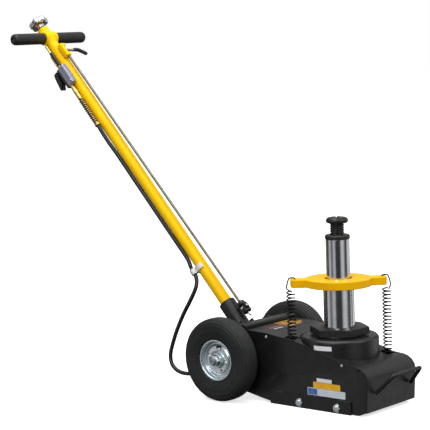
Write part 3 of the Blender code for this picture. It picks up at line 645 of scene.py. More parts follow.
# Hoses: the free loop first, because it is the object's only cord
hoseSizes = {"radius": 0.0052, "sides": 20}
held = [handleFrame @ Vector((-0.0188, -0.0178, height)) for height in (0.271, 0.257)]
loopPoints = [tuple(spot) for spot in held] + [(-0.4278, -0.0194, 0.2700), (-0.4215, -0.0240, 0.2545)]
loopPoints += [(-0.4225, -0.030, 0.2366), (-0.4345, -0.036, 0.2095), (-0.4540, -0.042, 0.1735)]
loopPoints += [(-0.4715, -0.048, 0.1337), (-0.4845, -0.053, 0.0949), (-0.4885, -0.057, 0.0680)]
loopPoints += [(-0.4800, -0.060, 0.0460), (-0.4590, -0.061, 0.0325), (-0.4300, -0.060, 0.0295)]
loopPoints += [(-0.3980, -0.058, 0.0360), (-0.3680, -0.054, 0.0495), (-0.3400, -0.052, 0.0580)]
loopRoute = smoothRoute(loopPoints[::-1], 6)
work = bar(bmesh.new(), loopRoute, hoseSizes["radius"], hoseSizes["sides"])
loop = standIn("air_hose_loop", meshOf(work, "air_hose_loop"), hoseRubber, None)
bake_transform(loop)
loopPath = [tuple(spot) for spot in smoothRoute(loopPoints[::-1], 2)]

side = (-0.0161, -0.0124)
run = [(-0.0058, -0.0244, 0.7335), (-0.0078, -0.0236, 0.715), (-0.0131, -0.0180, 0.682)]
run += [(*side, 0.640), (*side, 0.560), (*side, 0.470), (*side, 0.380), (*side, 0.300)]
run += [(-0.0186, -0.0170, 0.2735)]
upperRoute = [handleFrame @ spot for spot in smoothRoute(run, 6)]
work = bar(bmesh.new(), upperRoute, hoseSizes["radius"], hoseSizes["sides"])
standIn("air_hose_upper", meshOf(work, "air_hose_upper"), hoseRubber, "handle")
upperLength = sum((b - a).length for a, b in zip(upperRoute, upperRoute[1:]))
print("hose on the handle: %.3f m" % upperLength)

# Wheels
wheelSizes = {"halfTrack": 0.1400, "ribs": (0.0535, 0.0695, 0.0735), "ribRise": 0.0009, "grooves": 4}
wheelSizes.update({"spacing": 0.0042, "cut": 0.0011, "across": 0.1000, "wide": 0.0252})


def tyreSection():
    half = [(0.0476, 0.0181), (0.0505, 0.0183), (0.0560, 0.0214), (0.0680, 0.0242), (0.0770, 0.0250)]
    half += [(0.0840, 0.02510), (0.0890, 0.0241), (0.0925, 0.0222), (0.0955, 0.0197), (0.0980, 0.0168)]
    half += [(0.0995, 0.0120), (0.0999, 0.0060), (0.1000, 0.0)]
    fine = smoothRoute([(r, h, 0) for r, h in half], 10)
    made = []
    for before, here, after in zip([fine[0]] + fine, fine, fine[1:] + [fine[-1]]):
        along = (after - before).normalized()
        normal = Vector((along.y, -along.x))
        if normal.dot(Vector((here.x - 0.075, here.y))) < 0:
            normal = -normal
        depth = 0.0
        for centre in wheelSizes["ribs"]:
            if here.y > 0.015:
                depth += wheelSizes["ribRise"] * max(0.0, 1 - abs(here.x - centre) / 0.0012)
        for number in range(wheelSizes["grooves"]):
            centre = 0.0245 - wheelSizes["spacing"] * number
            if here.x > 0.086:
                depth -= wheelSizes["cut"] * max(0.0, 1 - (abs(here.y - centre) / 0.0009) ** 2)
        spot = Vector((here.x, here.y)) + normal * depth
        spot.x = min(spot.x, wheelSizes["across"])
        spot.y = min(spot.y, wheelSizes["wide"])
        made.append(spot)
    return made + [Vector((spot.x, -spot.y)) for spot in reversed(made[:-1])]


def wheelHoles(place):
    # cutters for the round and slotted windows in the rim's disc
    holes = []
    for x, y, radius in ((0.023, 0.034, 0.0036), (0.011, -0.023, 0.0028), (-0.027, 0.012, 0.0024)):
        tool = turn(bmesh.new(), [(0, -0.02), (radius, -0.02), (radius, 0.03), (0, 0.03)], 20,
                    place @ Matrix.Translation((x, y, 0)))
        holes.append(meshOf(tool, "hole"))
    slot = prism(bmesh.new(), roundedBox((-0.003, 0.0265), (0.013, 0.0345), 0.0039, 5), -0.02, 0.03, place)
    holes.append(meshOf(slot, "hole"))
    return holes


def makeWheel(name, side):
    place = sideFrame(axle.x, axle.z, side, wheelSizes["halfTrack"])
    body = "wheel_" + name
    tyre = turn(bmesh.new(), tyreSection(), 112, place, ring=True)
    standIn("tyre_" + name, meshOf(tyre, "tyre", 60), tyreRubber, body)
    barrel, lip = 0.0472, 0.0492
    section = [(lip, 0.0187), (lip, 0.0203), (barrel - 0.0012, 0.0207), (barrel - 0.0030, 0.0190)]
    section += [(barrel - 0.0040, 0.0085), (0.0385, 0.0075), (0.0330, 0.0125), (0.0215, 0.0130)]
    section += [(0.0165, 0.0095), (0.0165, 0.0200), (0.0131, 0.0200), (0.0131, -0.0225)]
    section += [(0.0165, -0.0225), (0.0165, 0.0065), (0.0225, 0.0100), (0.0320, 0.0095)]
    section += [(0.0380, 0.0045), (barrel - 0.0030, 0.0050), (barrel - 0.0030, -0.0190)]
    section += [(lip, -0.0203), (lip, -0.0187), (barrel, -0.0183), (barrel, 0.0183), (lip, 0.0187)]
    rim = lathed(rounded(section, 0.0016)[:-1], 96, place, ring=True)
    rim = carved(rim, wheelHoles(place))
    rim.shade_smooth()
    rim.set_sharp_from_angle(angle=radians(40))
    standIn("rim_" + name, rim, blueZinc, body)
    boss = bmesh.new()
    for number in range(4):
        angle = radians(-12 + 90 * number)
        spot = place @ Matrix.Translation((0.0265 * cos(angle), 0.0265 * sin(angle), 0.0118))
        turn(boss, rounded([(0, 0.0028), (0.0044, 0.0028), (0.0060, 0.0), (0, -0.001)], 0.001), 20, spot)
    piece("rim_bosses_" + name, meshOf(boss, "bosses"), blueZinc, body)
    bush = [(0.0128, -0.0215), (0.0128, 0.0190), (0.0099, 0.0190), (0.0099, -0.0215)]
    standIn("wheel_bush_" + name, lathed(bush, 40, place), machinedBrass, body)


makeWheel("left", -1)
makeWheel("right", 1)
print("wheels done")

# Axle with its turned ends and lock nuts
axleSizes = {"radius": 0.0095, "reach": 0.1730, "nutFace": 0.1606, "nut": 0.0135}
across = Matrix.Translation(axle) @ Matrix.Rotation(pi / 2, 4, "X")
radius, reach = axleSizes["radius"], axleSizes["reach"]
line = [(0, 0.0015 - reach), (0.0022, -reach), (0.0082, -reach), (radius, 0.0013 - reach)]
line += [(radius, reach - 0.0013), (0.0082, reach), (0.0022, reach), (0, reach - 0.0015)]
standIn("axle", lathed(rounded(line, 0.0004), 40, across), turnedSteel, "chassis")
for name, side in (("left", -1), ("right", 1)):
    place = sideFrame(axle.x, axle.z, side, axleSizes["nutFace"])
    nut = prism(bmesh.new(), hexagon(axleSizes["nut"]), 0, 0.0072, place)
    turn(nut, rounded([(0.0097, 0.0060), (0.0116, 0.0060), (0.0116, 0.0084), (0.0100, 0.0090)], 0.0006), 32,
         place)
    standIn("axle_nut_" + name, meshOf(nut, "nut"), blueZinc, "chassis", bevel=0.0006)

# Frame plates and sheets: the CAD shapes with rounded edges
plateHoles = ((-0.107, 0.077, 0.0022), (-0.039, 0.080, 0.0022), (0.121, 0.105, 0.0026))
for name, side in (("left", -1), ("right", 1)):
    plate = meshOf(cadShape("side_plate_" + name), "plate", outwards=False)
    tools = []
    for x, z, radius in plateHoles:
        tool = turn(bmesh.new(), [(0, -0.0022), (radius, -0.0022), (radius, 0.02), (0, 0.02)], 20,
                    sideFrame(x, z, side, 0.0955))
        tools.append(meshOf(tool, "hole"))
    plate = carved(plate, tools)
    plate.shade_smooth()
    plate.set_sharp_from_angle(angle=radians(30))
    standIn("side_plate_" + name, plate, powderCoat, "chassis", bevel=0.0005)
    rail = meshOf(cadShape("side_rail_" + name), "rail", outwards=False)
    standIn("side_rail_" + name, rail, powderCoat, "chassis", bevel=0.0008)
for node, width in (("top_cover", 0.0006), ("front_cover", 0.0006), ("rear_crossmember", 0.0010),
                    ("base_plate", 0.0008), ("rear_plate", 0.0006)):
    shape = meshOf(cadShape(node), node, outwards=False)
    standIn(node, shape, powderCoat, "chassis", bevel=width)
for node, width in (("lock_sector", 0.0005), ("pump_block", 0.0006)):
    shape = meshOf(cadShape(node), node, outwards=False)
    standIn(node, shape, turnedSteel, "chassis", bevel=width)

# Bolts in the foot rails and small screws in the side plates
railBolts = {"First": (-0.046, 0, 0.0125), "Last": (0.062, 0, 0.0125), "Count": 2, "Face": 0.0998,
             "Washer radius": 0.0098, "Washer height": 0.0012, "Head radius": 0.0076, "Head height": 0.0054,
             "Sides": 6, "Material": blueZinc[0]}
boltNodes = ("rail_bolt_rear_left", "rail_bolt_front_left", "rail_bolt_rear_right", "rail_bolt_front_right")
boltMesh = grown(bolts, railBolts)
piece("rail_bolts_piece", boltMesh, blueZinc, "chassis", stands=boltNodes, bevel=0.0003)
plateScrews = {"First": (-0.144, 0, 0.157), "Last": (0.075, 0, 0.112), "Count": 2, "Face": 0.0955,
               "Washer radius": 0.0032, "Washer height": 0.0004, "Head radius": 0.0026,
               "Head height": 0.0014, "Sides": 20, "Material": blueZinc[0]}
piece("plate_screws", grown(bolts, plateScrews), blueZinc, "chassis")
beads = bmesh.new()
for side in (-1, 1):
    runs = [((-0.128, 0.0302), (-0.098, 0.0302)), ((-0.030, 0.0302), (0.000, 0.0302)),
            ((0.064, 0.0302), (0.094, 0.0302))]
    for number, (first, last) in enumerate(runs):
        y = side * 0.0962
        values = {"First": (first[0], y, first[1]), "Last": (last[0], y, last[1]), "Count": 17,
                  "Size": 0.0019, "Seed": 3 + number, "Material": powderCoat[0]}
        addMesh(beads, grown(weld, values))
piece("rail_weld_beads", meshOf(beads, "beads", 60, outwards=False), powderCoat, "chassis")

# Carry handle: one bent rod with welded feet
carry = {"radius": 0.0046, "foot": 0.1490}
foot = carry["foot"]
route = [(foot, -0.070, 0.052), (foot + 0.018, -0.0625, 0.071), (foot + 0.034, -0.056, 0.0885)]
route += [(foot + 0.039, -0.051, 0.0935), (foot + 0.041, -0.044, 0.0950)]
route += [(foot + 0.041, -0.030, 0.0950)]
route += [(x, -y, z) for x, y, z in reversed(route)]
rod = bar(bmesh.new(), smoothRoute(route, 4), carry["radius"], 20)
standIn("carry_handle", meshOf(rod, "carry_handle"), powderCoat, "chassis")
print("frame done")

# Lift cylinder: housing with its spring lugs, pressure cylinder and gland
lift = {"housing": 0.0915, "top": 0.162, "gland": 0.0712, "glandTop": 0.182, "ram": 0.0363}
radius, top = lift["housing"], lift["top"]
section = [(radius, 0.0103), (radius, top - 0.0050), (radius - 0.0050, top), (0.0525, top),
           (0.0525, top - 0.010)]
section += [(radius - 0.006, top - 0.010), (radius - 0.006, 0.0103)]
housing = turn(bmesh.new(), rounded(section, 0.0022, 4), 96, ring=True)
bearing = Matrix.Rotation(springBearing, 4, "Z")
for side, low in ((-1, 0.128), (1, 0.098)):
    near, far = sorted((side * (radius - 0.004), side * 0.124))
    prism(housing, roundedBox((near, -0.006), (far, 0.006), 0.003, 4), low, low + 0.007, bearing)
standIn("cylinder_housing", meshOf(housing, "housing"), blackEnamel, "chassis", bevel=0.0004)
cup = [(0, 0.0103), (0.052, 0.0103), (0.052, 0.1647), (0.0443, 0.1647), (0.0443, 0.1497), (0.0385, 0.1497)]
cup += [(0.0385, 0.0205), (0, 0.0205)]
standIn("hydraulic_cylinder", lathed(rounded(cup, 0.0006), 64), turnedSteel, "chassis")
hexTop = lift["glandTop"]
nut = prism(bmesh.new(), hexagon(lift["gland"], radians(-35)), 0.165, hexTop - 0.0004)
hole = lift["ram"] + 0.0006
bore = lathed([(hole, 0.1), (hole, 0.3), (0, 0.3), (0, 0.1)], 64, ring=True)
chamfer = [(0.0600, 0.2), (0.0640, hexTop + 0.0010), (0.0745, hexTop - 0.0045), (0.09, 0.2)]
nut = carved(meshOf(nut, "gland"), [bore, lathed(chamfer, 96, ring=True)])
standIn("hex_gland", nut, blackOxide, "chassis", bevel=0.0008)
wiper = [(0.0369, hexTop - 0.004), (0.0430, hexTop - 0.004), (0.0430, hexTop - 0.0002), (0.0400, hexTop)]
wiper += [(0.0369, hexTop - 0.0012)]
piece("gland_wiper", lathed(wiper, 64, ring=True), gripRubber, "chassis")

# Rams, gland nut and collar
head, groove, base = 0.0381, 0.0353, 0.112
section = [(0, base), (head, base), (head, base + 0.005), (groove, base + 0.005), (groove, base + 0.011)]
section += [(head, base + 0.011), (head, base + 0.018), (0.0363, base + 0.019), (0.0363, 0.2765)]
section += [(0.0319, 0.2765), (0.0319, 0.260), (0.0285, 0.260), (0.0285, base + 0.008), (0, base + 0.008)]
standIn("stage1_ram", lathed(rounded(section, 0.0005), 96), hardChrome, "stage1")
ring = [(0.0316, 0.2603), (0.0316, 0.2932), (0.0303, 0.2945), (0.0294, 0.2945), (0.0281, 0.2932),
        (0.0281, 0.2603)]
standIn("stage1_gland_nut", lathed(ring, 72), blackOxide, "stage1")
base, head, bore = 0.215, 0.0282, 0.0176
section = [(0, base), (head, base), (head, base + 0.014), (0.0278, base + 0.015), (0.0278, 0.3868)]
section += [(bore, 0.3868), (bore, 0.271), (0, 0.271)]
standIn("stage2_ram", lathed(rounded(section, 0.0006), 96), hardChrome, "stage2")
low, high = 0.3871, 0.397
ring = [(0.0176, low), (0.0278, low), (0.0293, low + 0.0015), (0.0293, high - 0.0025), (0.0268, high),
        (0.0186, high)]
ring += [(0.0176, high - 0.001)]
standIn("stage2_collar", lathed(rounded(ring, 0.0005), 72, ring=True), blackOxide, "stage2")

# Saddle screw: turned core, rolled thread and a rounded, cross-grooved head
saddle = {"core": 0.0148, "low": 0.4245, "top": 0.438, "head": 0.0258, "pitch": 0.0058}
section = [(0, 0.300), (0.0140, 0.300), (saddle["core"], 0.302), (saddle["core"], 0.4215), (0.0160, 0.4245)]
section += [(saddle["head"] - 0.0025, saddle["low"]), (saddle["head"], saddle["low"] + 0.0025)]
section += [(saddle["head"], saddle["top"] - 0.0060), (saddle["head"] - 0.0030, saddle["top"] - 0.0015)]
section += [(saddle["head"] - 0.0090, saddle["top"]), (0, saddle["top"])]
core = lathed(rounded(section, 0.0016), 72)
tools = []
for extra in (0, pi / 2):
    groove = prism(bmesh.new(), [(-0.05, -0.0022), (0.05, -0.0022), (0.05, 0.0022), (-0.05, 0.0022)],
                   saddle["top"] - 0.003, saddle["top"] + 0.01,
                   Matrix.Rotation(springBearing + extra, 4, "Z"))
    tools.append(meshOf(groove, "groove"))
core = carved(core, tools)
whole = bmesh.new()
whole.from_mesh(core)
threadHeight = 0.1185
thread = grown(coil, {"Turns": threadHeight / saddle["pitch"], "Coil radius": 0.0154,
                      "Height": threadHeight, "Wire radius": 0.0016, "Steps": 40,
                      "Material": blackOxide[0]})
addMesh(whole, thread, Matrix.Translation((0, 0, 0.304)))
standIn("saddle_screw", meshOf(whole, "saddle", outwards=False), blackOxide, "saddle", bevel=0.0005)

# Lift plate: a cast disc that runs out into two arms, bored for the ram and the spring hooks
plate = {"low": 0.2768, "high": 0.2958, "radius": 0.0775, "arm": 0.018, "reach": 0.112, "corner": 0.008}
half = []
for step in range(73):
    along = plate["reach"] * cos(pi * step / 72)
    disc = sqrt(max(plate["radius"] ** 2 - along**2, 0))
    wide = (disc**4 + plate["arm"] ** 4) ** 0.25
    past = abs(along) - (plate["reach"] - plate["corner"])
    if past > 0:
        wide = plate["arm"] - plate["corner"] + sqrt(max(plate["corner"] ** 2 - past**2, 0))
    half.append((along, wide))
outline = half + [(a, -b) for a, b in reversed(half)]
shape = slab(outline, plate["low"], plate["high"], bearing)
tools = [lathed([(0, 0.2), (0.0320, 0.2), (0.0320, 0.4), (0, 0.4)], 64)]
for side in (-1, 1):
    spot = bearing @ Matrix.Translation((side * 0.101, 0, 0))
    tools.append(lathed([(0, 0.2), (0.0035, 0.2), (0.0035, 0.4), (0, 0.4)], 24, spot))
standIn("lift_plate", carved(shape, tools), yellowCast, "stage1", bevel=0.0018, segments=3)
print("lift done")

# Return springs: a fine coil from the housing lug to the plate, with a hook at each end
spring = {"reach": 0.112, "radius": 0.0094, "wire": 0.0017, "pitch": 0.0085, "top": 0.2665}
for name, side, low, lug in (("left", -1, 0.1365, 0.128), ("right", 1, 0.1065, 0.098)):
    turned = Matrix.Rotation(springBearing + (pi if side < 0 else 0), 4, "Z")
    height = spring["top"] - low
    body = grown(coil, {"Turns": height / spring["pitch"], "Coil radius": spring["radius"],
                        "Height": height, "Wire radius": spring["wire"], "Steps": 20,
                        "Material": springPaint[0]})
    work = addMesh(bmesh.new(), body, turned @ Matrix.Translation((spring["reach"], 0, low)))
    last = (height / spring["pitch"]) % 1 * 2 * pi
    far, high = 0.1175, 0.2958
    end = (spring["reach"] + spring["radius"] * cos(last), spring["radius"] * sin(last), spring["top"])
    hook = [end, (far + 0.0035, 0, spring["top"] + 0.007), (far + 0.0030, 0, spring["top"] + 0.016)]
    hook += [(far - 0.0005, 0, high - 0.001), (far - 0.0045, 0, high + 0.0030), (0.104, 0, high + 0.0028)]
    hook += [(0.101, 0, high - 0.001), (0.101, 0, high - 0.008)]
    bar(work, [turned @ spot for spot in smoothRoute(hook, 4)], spring["wire"], 8)
    start = (spring["reach"] + spring["radius"], 0, low)
    foot = [start, (0.119, 0, low - 0.003), (0.117, 0, lug + 0.0075)]
    bar(work, [turned @ spot for spot in smoothRoute(foot, 4)], spring["wire"], 8)
    made = standIn("return_spring_" + name, meshOf(work, "spring", 60, outwards=False), springPaint, None)
    spot = turned @ Vector((spring["reach"], 0, 0))
    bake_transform(made)
print("springs done")

# Air motor, inlet and spindle
centre = Matrix.Translation((-0.158, 0, 0.114)) @ Matrix.Rotation(-pi / 2, 4, "X")
motor = [(0.0385, -0.070), (0.0385, 0.012), (0.0068, 0.012), (0.0068, 0.006), (0.0345, 0.006),
         (0.0345, -0.070)]
piece("air_motor_piece", lathed(rounded(motor, 0.0015), 64, centre), blackEnamel, "chassis",
      stands=("air_motor_cylinder",))
inletPlace = Matrix.Translation((-0.3123, -0.052, 0.058)) @ Matrix.Rotation(-pi / 2, 4, "Y")
neck = [(0, 0), (0.0092, 0), (0.0092, 0.0100), (0.0072, 0.0110), (0.0072, 0.0150), (0.0066, 0.0160)]
neck += [(0.0072, 0.0170), (0.0072, 0.0200), (0.0066, 0.0210), (0.0072, 0.0220), (0.0072, 0.0260),
         (0, 0.0260)]
fitting = turn(bmesh.new(), rounded(neck, 0.0004, 2), 32, inletPlace)
prism(fitting, hexagon(0.0105), 0.0005, 0.0085, inletPlace)
standIn("air_inlet", meshOf(fitting, "inlet"), machinedBrass, "chassis", bevel=0.0003)
pin = [(0, 0.0460), (0.0058, 0.0460), (0.0058, 0.130), (0.0048, 0.131), (0, 0.131)]
standIn("release_spindle", lathed(pin, 32, Matrix.Translation((-0.180, 0.028, 0))), turnedSteel, "spindle")

# Handle: socket with ears, tube with its boss, cross bar and grips
handle = {"top": 1.066, "bar": 1.0345}
socket = [(0.0065, 0.052), (0.0197, 0.052), (0.0212, 0.0535), (0.0212, 0.1430), (0.0197, 0.145)]
socket += [(0.0153, 0.145), (0.0153, 0.064), (0.0065, 0.064)]
work = turn(bmesh.new(), rounded(socket, 0.0008), 64, handleFrame, ring=True)
ear = [(0.023, 0.075), (-0.023, 0.075)]
ear += [(0.023 * cos(pi + pi * step / 24), 0.023 * sin(pi + pi * step / 24)) for step in range(25)]
for side in (-1, 1):
    low, high = sorted((side * 0.0165, side * 0.0225))
    prism(work, ear, low, high, handleFrame, along="Y")
standIn("handle_socket", meshOf(work, "socket"), powderCoat, "handle", bevel=0.0006)
tubeTop = handle["top"]
tube = [(0.0150, 0.0645), (0.0150, tubeTop - 0.0008), (0.0142, tubeTop), (0.0128, tubeTop),
        (0.012, tubeTop - 0.0008)]
tube += [(0.012, 0.0645)]
work = turn(bmesh.new(), tube, 64, handleFrame, ring=True)
acrossBar = aimed(handleFrame, (0, 0, handle["bar"]), -pi / 2, "X")
boss = [(0.0113, -0.020), (0.0170, -0.020), (0.0185, -0.0185), (0.0185, 0.0185), (0.0170, 0.020),
        (0.0113, 0.020)]
turn(work, rounded(boss, 0.0006), 48, acrossBar, ring=True)
collarRing = [(0.0148, handle["bar"] + 0.0145), (0.0172, handle["bar"] - 0.0165),
              (0.0148, handle["bar"] - 0.0205)]
turn(work, collarRing, 48, handleFrame, ring=True)
standIn("handle_tube", meshOf(work, "tube", 40), yellowTube, "handle")
cross = [(0, -0.1245), (0.0100, -0.1245), (0.0110, -0.1235), (0.0110, 0.1235), (0.0100, 0.1245),
         (0, 0.1245)]
standIn("cross_bar", lathed(cross, 40, acrossBar), turnedSteel, "handle")
for name, side in (("left", -1), ("right", 1)):
    place = aimed(handleFrame, (0, 0, handle["bar"]), -side * pi / 2, "X")
    shell = [(0.0113, 0.021), (0.0140, 0.021), (0.0150, 0.022), (0.0150, 0.0262), (0.0146, 0.0268)]
    shell += [(0.0146, 0.0280), (0.0150, 0.0286), (0.0150, 0.1180), (0.0146, 0.1212), (0.0133, 0.1244)]
    shell += [(0.0108, 0.1266), (0.0075, 0.1275), (0.0040, 0.1275), (0.0030, 0.1268), (0.0030, 0.1248)]
    shell += [(0.0113, 0.1248)]
    work = turn(bmesh.new(), rounded(shell, 0.0006), 48, place, ring=True)
    standIn("grip_" + name, meshOf(work, "grip", 50), gripRubber, "handle")
bracket = meshOf(cadShape("lever_bracket"), "bracket", outwards=False)
standIn("lever_bracket", bracket, yellowTube, "handle", bevel=0.0007, segments=3)
cheek = prism(bmesh.new(), roundedBox((0.0293, -0.0110), (0.0312, -0.0004), 0.0008), 0.9560, 0.9860,
              handleFrame)
piece("bracket_cheek", meshOf(cheek, "cheek"), yellowTube, "handle", bevel=0.0005)
print("handle done")

# Release rod, universal joint, lever and its rubber grip
rodLow, rodHigh = Vector((0.0345, 0, 0.119)), Vector((0.0243, 0, 0.970))
lean = atan2(rodHigh.x - rodLow.x, rodHigh.z - rodLow.z)
foot = rodLow - (rodHigh - rodLow).normalized() * rodLow.z
rodFrame = aimed(handleFrame, foot, lean, "Y")
rod = [(0, 0.1225), (0.0034, 0.1225), (0.0034, 0.9627), (0, 0.9627)]
standIn("release_rod", lathed(rod, 32, rodFrame), drawnSteel, "release_rod")
jointFrame = aimed(handleFrame, (0.0345, 0, 0.1222), radians(-8), "Y")
knuckle = turn(bmesh.new(), rounded([(0, -0.0015), (0.0060, -0.0015), (0.0098, -0.0050), (0.0108, -0.0120),
                                     (0.0085, -0.0150), (0, -0.0150)], 0.001), 32, jointFrame)
turn(knuckle, rounded([(0, -0.0300), (0.0085, -0.0300), (0.0108, -0.0330), (0.0100, -0.0365),
                       (0.0045, -0.0385), (0, -0.0385)], 0.001), 32, jointFrame)
for low, high in (((-0.0112, -0.0065), (-0.0062, 0.0065)), ((0.0062, -0.0065), (0.0112, 0.0065))):
    prism(knuckle, roundedBox(low, high, 0.0015), -0.0270, -0.0120, jointFrame)
    turnedQuarter = jointFrame @ Matrix.Rotation(pi / 2, 4, "Z")
    prism(knuckle, roundedBox(low, high, 0.0015), -0.0340, -0.0180, turnedQuarter)
turn(knuckle, rounded([(0, -0.0155), (0.0058, -0.0175), (0.0066, -0.0225), (0.0058, -0.0275), (0, -0.0295)],
                      0.002), 24, jointFrame)
standIn("universal_joint", meshOf(knuckle, "knuckle"), blackOxide, "release_rod", bevel=0.0004)
pins = turn(bmesh.new(), [(0, -0.0475), (0.0028, -0.0475), (0.0034, -0.0469), (0.0034, -0.0375),
                          (0, -0.0375)], 24, jointFrame)
for spin in (0, pi / 2):
    place = aimed(jointFrame, (0, 0, -0.0225), spin, "Z") @ Matrix.Rotation(pi / 2, 4, "Y")
    turn(pins, rounded([(0, -0.0121), (0.0029, -0.0121), (0.0034, -0.0115), (0.0034, 0.0115),
                        (0.0029, 0.0121), (0, 0.0121)], 0.0003), 20, place)
piece("joint_pins", meshOf(pins, "pins"), brightChrome, "release_rod")
hub = [(0, 0.9630), (0.0042, 0.9630), (0.0048, 0.9640), (0.0048, 0.9780), (0.0042, 0.9790),
       (0.0034, 0.9790)]
hub += [(0.0034, 0.9875), (0.0028, 0.9880), (0, 0.9880)]
work = turn(bmesh.new(), rounded(hub, 0.0004), 32, rodFrame)
leverX, leverHeight = 0.0243, 0.9715
outFrame = aimed(handleFrame, (leverX, 0, leverHeight), -pi / 2 - radians(6), "X")
turn(work, [(0, 0.002), (0.0036, 0.002), (0.0036, 0.0285), (0, 0.0285)], 24, outFrame)
standIn("release_lever", meshOf(work, "lever"), brightChrome, "release_rod")
bends = ((0.029, 0.0024), (0.038, 0.0014), (0.047, 0.0032), (0.057, 0.0094), (0.069, 0.0187))
route = smoothRoute([handleFrame @ Vector((leverX, y, leverHeight - drop)) for y, drop in bends], 6)
sizes = [0.0050] * len(route)
for step, share in ((0, 0.72), (1, 0.95), (len(route) - 2, 0.92), (len(route) - 1, 0.62)):
    sizes[step] = 0.0050 * share
standIn("lever_grip", meshOf(bar(bmesh.new(), route, sizes, 20), "lever_grip", 50), gripRubber,
        "release_rod")

# Lock knob with its lobes and pin
knob = {"lobes": 6, "depth": 0.10, "plain": 0.012, "blend": 0.008}
section = [(0, 1.0720), (0.0095, 1.0720), (0.0105, 1.0785), (0.0210, 1.0798), (0.0240, 1.0830),
           (0.0245, 1.0860)]
section += [(0.0245, 1.0905), (0.0238, 1.0935), (0.0205, 1.0968), (0.0120, 1.0978), (0.0085, 1.0988),
            (0, 1.0990)]
work = turn(bmesh.new(), rounded(section, 0.0012), 96)
for spot in work.verts:
    far = hypot(spot.co.x, spot.co.y)
    share = min(1.0, max(0.0, (far - knob["plain"]) / knob["blend"]))
    lobe = 1 + knob["depth"] * share * cos(knob["lobes"] * atan2(spot.co.y, spot.co.x))
    spot.co.x *= lobe
    spot.co.y *= lobe
turn(work, [(0, 0.0515), (0.0036, 0.0515), (0.0042, 0.0525), (0.0042, 1.0750), (0, 1.0750)], 32)
work.transform(handleFrame)
standIn("lock_knob", meshOf(work, "knob", 50), brightChrome, "lock")

# Air valve: plug, knurled coupler, sleeve, body with screws, trigger, fitting and spring relief
valve = {"x": -0.0030, "y": -0.0250}
x, y = valve["x"], valve["y"]
line = handleFrame @ Matrix.Translation((x, y, 0))
plug = [(0, 0.9330), (0.0052, 0.9330), (0.0055, 0.9335), (0.0055, 0.9400), (0.0063, 0.9408),
        (0.0063, 0.9480)]
plug += [(0.0050, 0.9490), (0.0050, 0.9740), (0.0042, 0.9760), (0.0042, 0.9830), (0.0032, 0.9850)]
plug += [(0.0032, 0.9930), (0.0026, 0.9940), (0.0026, 0.9970), (0.0032, 0.9980), (0.0032, 1.0080),
         (0.0026, 1.0100)]
plug += [(0, 1.0100)]
work = turn(bmesh.new(), rounded(plug, 0.0003, 2), 32, line)
addMesh(work, grown(ridges, {"Count": 28, "Radius": 0.0062, "Size": (0.0007, 0.0007, 0.0060),
                             "Height": 0.9444, "Material": machinedBrass[0]}), line)
standIn("inlet_fitting", meshOf(work, "plug"), machinedBrass, "handle")
sleeve = [(0.0051, 0.9495), (0.0062, 0.9495), (0.0066, 0.9505), (0.0066, 0.9725), (0.0060, 0.9738),
          (0.0051, 0.9738)]
piece("coupler_sleeve", lathed(sleeve, 32, line, ring=True), machinedBrass, "handle")
beside = handleFrame @ Matrix.Translation((0.0018, y - 0.0030, 0))
plain = [(0, 0.9380), (0.0042, 0.9380), (0.0048, 0.9390), (0.0048, 0.9790), (0.0042, 0.9805),
         (0.0028, 0.9815)]
plain += [(0, 0.9815)]
piece("safety_sleeve", lathed(rounded(plain, 0.0006), 32, beside), blackNylon, "handle")
block = prism(bmesh.new(), roundedBox((x + 0.0065, y - 0.0085), (x + 0.0170, y + 0.0080), 0.0022, 4),
              0.8725, 0.9320, handleFrame)
standIn("valve_body", meshOf(block, "body"), violetAlloy, "handle", bevel=0.0008, segments=3)
for name, finish, low, high in (("valve_stem", violetAlloy, x - 0.0062, x + 0.0080),
                                ("valve_stem_cover", blackNylon, x - 0.0135, x - 0.0060)):
    stem = prism(bmesh.new(), roundedBox((low, y - 0.0055), (high, y + 0.0055), 0.0015), 0.8722, 0.9325,
                 handleFrame)
    piece(name, meshOf(stem, name), finish, "handle", bevel=0.0006)
work = bmesh.new()
for height in (0.8800, 0.9240):
    place = aimed(handleFrame, (x + 0.0120, y - 0.0085, height), pi / 2, "X")
    turn(work, rounded([(0, -0.0005), (0.0022, -0.0005), (0.0022, 0.0006), (0.0016, 0.0011),
                        (0.0012, 0.0011), (0.0010, 0.0004), (0, 0.0004)], 0.0002, 2), 20, place)
piece("valve_screws", meshOf(work, "screws"), brightChrome, "handle")
paddle = [(-0.0168, 0.9300), (-0.0287, 0.9300), (-0.0330, 0.9180), (-0.0385, 0.8850), (-0.0365, 0.8820)]
paddle += [(-0.0335, 0.8830), (-0.0240, 0.8960), (-0.0186, 0.9205)]
work = prism(bmesh.new(), [tuple(spot) for spot in rounded(paddle + [paddle[0]], 0.0016)[:-1]], y - 0.0080,
             y + 0.0080, handleFrame, along="Y")
standIn("valve_trigger", meshOf(work, "trigger"), blackNylon, "trigger", bevel=0.0007)
tilt = Euler((-0.0008, 0.0055, 0)).to_matrix().to_4x4()
leaning = handleFrame @ Matrix.Translation((-0.0098, -0.0250, 0)) @ tilt
fitting = [(0, 0.8240), (0.0050, 0.8240), (0.0060, 0.8255), (0.0060, 0.8390), (0.0054, 0.8400),
           (0.0054, 0.8420)]
fitting += [(0.0060, 0.8430), (0.0060, 0.8560), (0.0052, 0.8590), (0.0052, 0.8717), (0, 0.8717)]
work = turn(bmesh.new(), rounded(fitting, 0.0004, 2), 32, leaning)
prism(work, hexagon(0.0064), 0.8450, 0.8550, leaning)
standIn("hose_fitting", meshOf(work, "fitting"), machinedBrass, "handle", bevel=0.0003)
relief = {"low": 0.7340, "high": 0.8237, "pitch": 0.0062, "wire": 0.0011}
height = relief["high"] - relief["low"] - 2 * relief["wire"]
